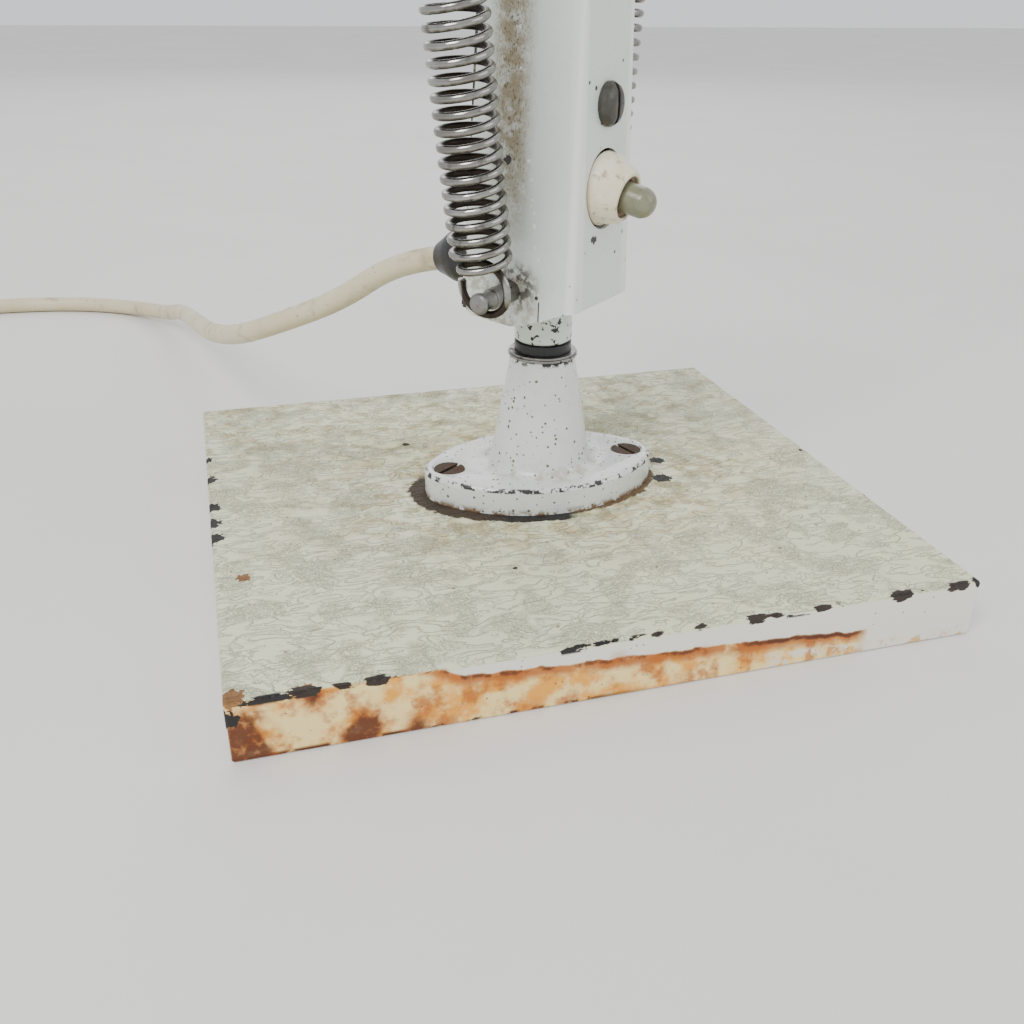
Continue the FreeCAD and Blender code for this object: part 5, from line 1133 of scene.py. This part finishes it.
@dataclass
class MainsCord:
    """Cord from the gland across the floor into a put-away coil, with its plug."""

    diameter: float = 7.0
    gland: Point = (-23.146, 26.627, 79.834)
    route: tuple[Point, ...] = (
        (-34.056, 39.177, 76.300), (-50.0, 52.5, 62.0), (-68.5, 64.5, 52.5), (-82.5, 87.0, 42.0),
        (-91.5, 122.0, 33.0), (-96.5, 162.0, 26.0), (-103.5, 203.0, 19.5), (-110.5, 243.0, 7.5),
        (-127.0, 271.0, 3.5), (-156.0, 286.0, 3.5), (-191.0, 290.5, 3.5), (-228.0, 288.375, 3.5),
        (-247.0, 288.375, 3.5))
    coil_centre: Span = (-254.0, 238.0)
    coil_outer: float = 50.375
    pitch: float = 7.5
    turns_in: float = 2.5
    turns_up: float = 0.5
    turns_out: float = 2.25
    points_a_turn: int = 24
    tail: float = 24.0
    length: float = 1.75
    section_steps: int = 5
    span_steps: int = 8

    def coil_points(self) -> list[Point]:
        """Control points of the coil: one layer spirals in on the floor, one out on top of it.

        Returns:
            The points in millimetres, in the cord's order.
        """
        turns = self.turns_in + self.turns_up + self.turns_out
        inner = self.coil_outer - self.turns_in * self.pitch
        found = []
        for step in range(int(turns * self.points_a_turn) + 1):
            done = step / self.points_a_turn
            level = 0.5 * self.diameter
            if done <= self.turns_in:
                radius = self.coil_outer - self.pitch * done
            elif done <= self.turns_in + self.turns_up:
                share = (done - self.turns_in) / self.turns_up
                dip = self.pitch * self.turns_up / math.pi
                radius = inner - dip * math.sin(math.pi * share)
                level += self.pitch * share ** 2 * (3 - 2 * share)
            else:
                radius = inner + self.pitch * (done - self.turns_in - self.turns_up)
                level += self.pitch
            angle = math.pi / 2 + 2 * math.pi * done
            found.append((self.coil_centre[0] + radius * math.cos(angle),
                          self.coil_centre[1] + radius * math.sin(angle), level))
        return found

    def build(self, dresser: Dresser) -> None:
        """Args:
            dresser: Gives the cord its finish.
        """
        turns = self.coil_points()
        x, y, z = turns[-1]
        points = [self.gland, *self.route, *turns, (x, y - self.tail, z)]
        curve = bpy.data.curves.new("mains_cord", "CURVE")
        curve.dimensions = "3D"
        curve.bevel_depth = 0.5 * self.diameter * MM
        curve.bevel_resolution = self.section_steps
        curve.use_fill_caps = True
        spline = curve.splines.new("NURBS")
        spline.points.add(len(points) - 1)
        for knot, point in zip(spline.points, points):
            knot.co = (*(value * MM for value in point), 1.0)
        spline.order_u = 3
        spline.use_endpoint_u = True
        spline.resolution_u = self.span_steps
        spline.use_smooth = True
        cord = dresser.add_piece("mains_cord", curve, "cord_jacket", "pillar")
        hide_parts("supply_cord", "cord_coil")


@dataclass
class BalanceSprings:
    """Pair of wound springs between the pillar's pins and the levers."""

    wire: float = 2.03
    wire_sides: int = 12
    mean_radius: float = 7.0
    hook: float = 7.0
    pin_seat: float = 3.665
    coils: int = 24
    hook_angle: float = 285.0
    hook_steps: int = 20
    lead_steps: int = 12
    coil_steps: int = 32
    low: Point = (28.2, 0.8, 78.8)
    high: Point = (44.5, 2.9908, 186.9347)

    def line(self) -> list[Vector]:
        """Centre line along Z, from the lower pin's centre to the upper one's.

        Returns:
            The points of the wound wire and of its two open hooks, which mirror each other.
        """
        length = (Vector(self.high) - Vector(self.low)).length
        centre = self.hook - self.pin_seat
        first = centre + self.hook
        half = 0.5 * self.mean_radius
        end = []
        for i in range(self.hook_steps):
            angle = math.radians(self.hook_angle * (1 - i / self.hook_steps))
            end.append(Vector((
                0, self.hook * math.sin(angle), centre + self.hook * math.cos(angle))))
        for i in range(self.lead_steps + 1):
            angle = math.pi * i / self.lead_steps
            end.append(Vector((half - half * math.cos(angle), -half * math.sin(angle), first)))
        wound = []
        count = self.coils * self.coil_steps
        for i in range(1, count):
            angle = 2 * math.pi * i / self.coil_steps
            wound.append(Vector((
                self.mean_radius * math.cos(angle), self.mean_radius * math.sin(angle),
                first + (length - 2 * first) * i / count)))
        return end + wound + [Vector((p.x, -p.y, length - p.z)) for p in reversed(end)]

    def build(self, dresser: Dresser, repeats: Repeats) -> None:
        """Makes both springs between the pillar and the lower arm.

        Args:
            dresser: Gives the springs their finish.
            repeats: Sweeps the wire.
        """
        upright = Vector((0, 0, 1))
        for name, side in (("right_spring", 1), ("left_spring", -1)):
            low, high = (Vector((side * x, y, z)) for x, y, z in (self.low, self.high))
            stand = upright.rotation_difference(high - low).to_matrix().to_4x4()
            place = PILLAR @ Matrix.Translation(low) @ stand @ turned("Z", 180)
            mesh = repeats.wire_mesh([place @ point for point in self.line()], 0.5 * self.wire,
                                     self.wire_sides, "spring_steel")
            piece = dresser.add_piece(name + "_wound", mesh, "spring_steel", None)
            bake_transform(piece)
            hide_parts(name)


@dataclass
class SmoothCopies:
    """Nodes shown as welded copies, shaded smooth with their true edges a little rounded."""

    rounding: dict[str, float] = field(default_factory=lambda: {
        "base_plate": 0.0, "foot_casting": 0.0, "foot_screws": 0.12, "lower_washer": 0.1,
        "upper_washer": 0.1, "bearing_bush": 0.2, "pillar_shell": 0.12, "rear_cover": 0.12,
        "pivot_block": 0.25, "spring_pins": 0.12, "switch_housing": 0.25, "switch_guide": 0.0,
        "push_button": 0.0, "front_screw": 0.2, "cord_gland": 0.4, "shoulder_bushes": 0.1,
        "shoulder_shaft": 0.1, "shaft_spacers": 0.15, "right_lever": 0.3, "left_lever": 0.3,
        "lever_pins": 0.12, "shaft_nuts": 0.25, "shoulder_knuckle": 0.3, "lower_tube": 0.0,
        "elbow_fork": 0.5, "elbow_bolt": 0.25, "elbow_washer": 0.15, "elbow_knob": 0.4,
        "elbow_tongue": 0.3, "upper_tube": 0.0, "wrist_socket": 0.2, "yoke": 0.3,
        "yoke_stem": 0.15, "lamp_housing": 0.25, "rear_cap": 0.3, "lamp_holder": 0.3, "bulb": 0.0,
        "reflector": 0.0, "lens": 0.0, "front_rim": 0.25, "aiming_grip": 0.3,
        "tilt_screws": 0.3})

    def build(self, dresser: Dresser) -> None:
        """Makes a copy of each node and hides the node behind it.

        Args:
            dresser: Gives each copy its node's finish.
        """
        for name, width in self.rounding.items():
            node = frame["nodes"][name]
            mesh = node.data.copy()
            shape = bmesh.new()
            shape.from_mesh(mesh)
            bmesh.ops.remove_doubles(shape, verts=shape.verts, dist=WELD_DISTANCE)
            bmesh.ops.dissolve_limit(shape, angle_limit=FLAT_ANGLE, verts=shape.verts,
                                     edges=shape.edges)
            for face in shape.faces:
                face.smooth = True
            shape.to_mesh(mesh)
            shape.free()
            mesh.set_sharp_from_angle(angle=SHARP_ANGLE)
            if width:
                mesh = modified(mesh, "BEVEL", {
                    "width": width * MM, "segments": 2, "limit_method": "ANGLE",
                    "angle_limit": SHARP_ANGLE})
            piece = dresser.add_piece(name + "_smooth", mesh, dresser.slots[name],
                                      node["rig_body"])
            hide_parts(name)


@dataclass(frozen=True)
class Ring:
    """Equal fittings round a ring: how many, its radius, their size, their finish and body."""

    count: int
    radius: float
    size: Point
    slot: str
    body: str


@dataclass
class SmallFittings:
    """Ribs, rivets and studs that repeat round the head, the knobs and the rear cover."""

    knob_ribs: Ring = Ring(22, 8.9, (0.9, 1.1, 5.6), "black_moulding", "head")
    knob_centre: float = 64.0
    cap_screws: Ring = Ring(3, 17.6, (4.4, 4.4, 2.4), "zinc_steel", "head")
    cap_level: float = -51.2
    studs: Ring = Ring(14, 7.55, (0.8, 2.2, 1.5), "black_moulding", "head")
    grip_level: float = -4.0
    stud_levels: tuple[float, ...] = (66.0, 71.0, 76.0, 81.0)
    rivets: Ring = Ring(2, 8.0, (4.0, 4.0, 1.6), "black_steel", "pillar")
    rivet_places: tuple[Span, ...] = ((96.0, 16.05), (142.0, 13.9), (188.0, 11.75))

    def build(self, dresser: Dresser, repeats: Repeats) -> None:
        """Makes every repeated fitting.

        Args:
            dresser: Gives the fittings their finishes.
            repeats: Stands them round their rings.
        """
        head = Posture().head()
        rows = [(name, self.knob_ribs, head @ moved(reach, 0, 0) @ turned("Y", 90))
                for name, reach in (("right_knob_ribs", self.knob_centre),
                                    ("left_knob_ribs", -self.knob_centre))]
        rows.append(("cap_screws", self.cap_screws, head @ moved(0, 0, self.cap_level)))
        grip = head @ moved(0, 0, self.grip_level) @ turned("X", -90)
        rows += [("grip_studs_%d" % number, self.studs, grip @ moved(0, 0, level))
                 for number, level in enumerate(self.stud_levels, 1)]
        rows += [("cover_rivets_%d" % number, self.rivets,
                  PILLAR @ moved(0, back, level) @ turned("X", -90))
                 for number, (level, back) in enumerate(self.rivet_places, 1)]
        for name, ring, place in rows:
            mesh = repeats.ring_mesh(ring.count, ring.radius, ring.size, ring.slot, place)
            dresser.add_piece(name, mesh, ring.slot, ring.body)


@dataclass(frozen=True)
class Panel:
    """A soft panel light: where it hangs, what it points at, its side, power and colour."""

    name: str
    place: Point
    aim: Point
    side: float
    power: float
    colour: Point

    def build(self) -> None:
        """Hangs the light."""
        data = bpy.data.lights.new(self.name, "AREA")
        data.size = self.side
        data.energy = self.power
        data.color = self.colour
        light = put(self.name, data)
        light.location = self.place
        away = Vector(self.aim) - Vector(self.place)
        light.rotation_euler = away.to_track_quat("-Z", "Y").to_euler()


@dataclass
class Studio:
    """Camera, soft lights and the pale floor."""

    position: Point = (-0.0890, -0.26696, 0.1516)
    yaw: float = -16.785
    pitch: float = 27.431
    roll: float = -0.831
    lens: float = 35.80
    sensor: float = 36.0
    near: float = 0.01
    floor_reach: float = 4.0
    sky: Colour = (0.96, 0.975, 1.0, 1.0)
    panels: tuple[Panel, ...] = (
        Panel("key", (-0.9, -0.8, 1.3), (0.0, 0.0, 0.08), 0.8, 21.0, (1.0, 0.985, 0.96)),
        Panel("fill", (1.1, -0.7, 0.7), (0.0, 0.0, 0.1), 1.0, 5.0, (0.98, 0.99, 1.0)),
        Panel("back", (0.2, 1.3, 1.0), (0.0, 0.0, 0.15), 1.2, 6.0, (1.0, 1.0, 1.0)))

    def add_camera(self) -> None:
        """Puts the camera at the photograph's viewpoint."""
        data = bpy.data.cameras.new("camera")
        data.lens = self.lens
        data.sensor_width = self.sensor
        data.clip_start = self.near
        camera = put("camera", data)
        camera.matrix_world = (moved(*self.position) @ turned("Z", self.yaw)
                               @ turned("X", 90.0 - self.pitch) @ turned("Z", -self.roll))
        bpy.context.scene.camera = camera

    def add_floor(self) -> None:
        """Lays a pale floor with a faint grain."""
        reach = self.floor_reach
        corners = [(-reach, -reach, 0), (reach, -reach, 0), (reach, reach, 0), (-reach, reach, 0)]
        mesh = bpy.data.meshes.new("floor")
        mesh.from_pydata(corners, [], [(0, 1, 2, 3)])
        mesh.materials.append(FLOOR.build())
        put("floor", mesh)

    def add_world(self) -> None:
        """Fills the shadows with an even pale sky."""
        world = bpy.data.worlds.new("studio")
        world.use_nodes = True
        sky = world.node_tree.nodes["Background"]
        sky.inputs[0].default_value = self.sky
        sky.inputs[1].default_value = 1.0
        bpy.context.scene.world = world

    def build(self) -> None:
        """Sets up the whole studio."""
        self.add_camera()
        self.add_floor()
        self.add_world()
        for panel in self.panels:
            panel.build()


@dataclass
class Lamp:
    """The whole lamp: its cord, springs, smooth copies and small fittings."""

    cord: MainsCord = field(default_factory=MainsCord)
    springs: BalanceSprings = field(default_factory=BalanceSprings)
    copies: SmoothCopies = field(default_factory=SmoothCopies)
    fittings: SmallFittings = field(default_factory=SmallFittings)

    def build(self) -> None:
        """Dresses every node and builds every new piece."""
        dresser = Dresser()
        repeats = Repeats(dresser)
        for name, node in frame["nodes"].items():
            dresser.dress(node, dresser.slots[name])
        self.cord.build(dresser)
        self.springs.build(dresser, repeats)
        self.fittings.build(dresser, repeats)
        self.copies.build(dresser)


def main() -> None:
    """Builds the studio and the lamp."""
    logging.basicConfig(level=logging.INFO, format="%(name)s: %(message)s")
    Studio().build()
    Lamp().build()


if __name__ == "__main__":
    main()
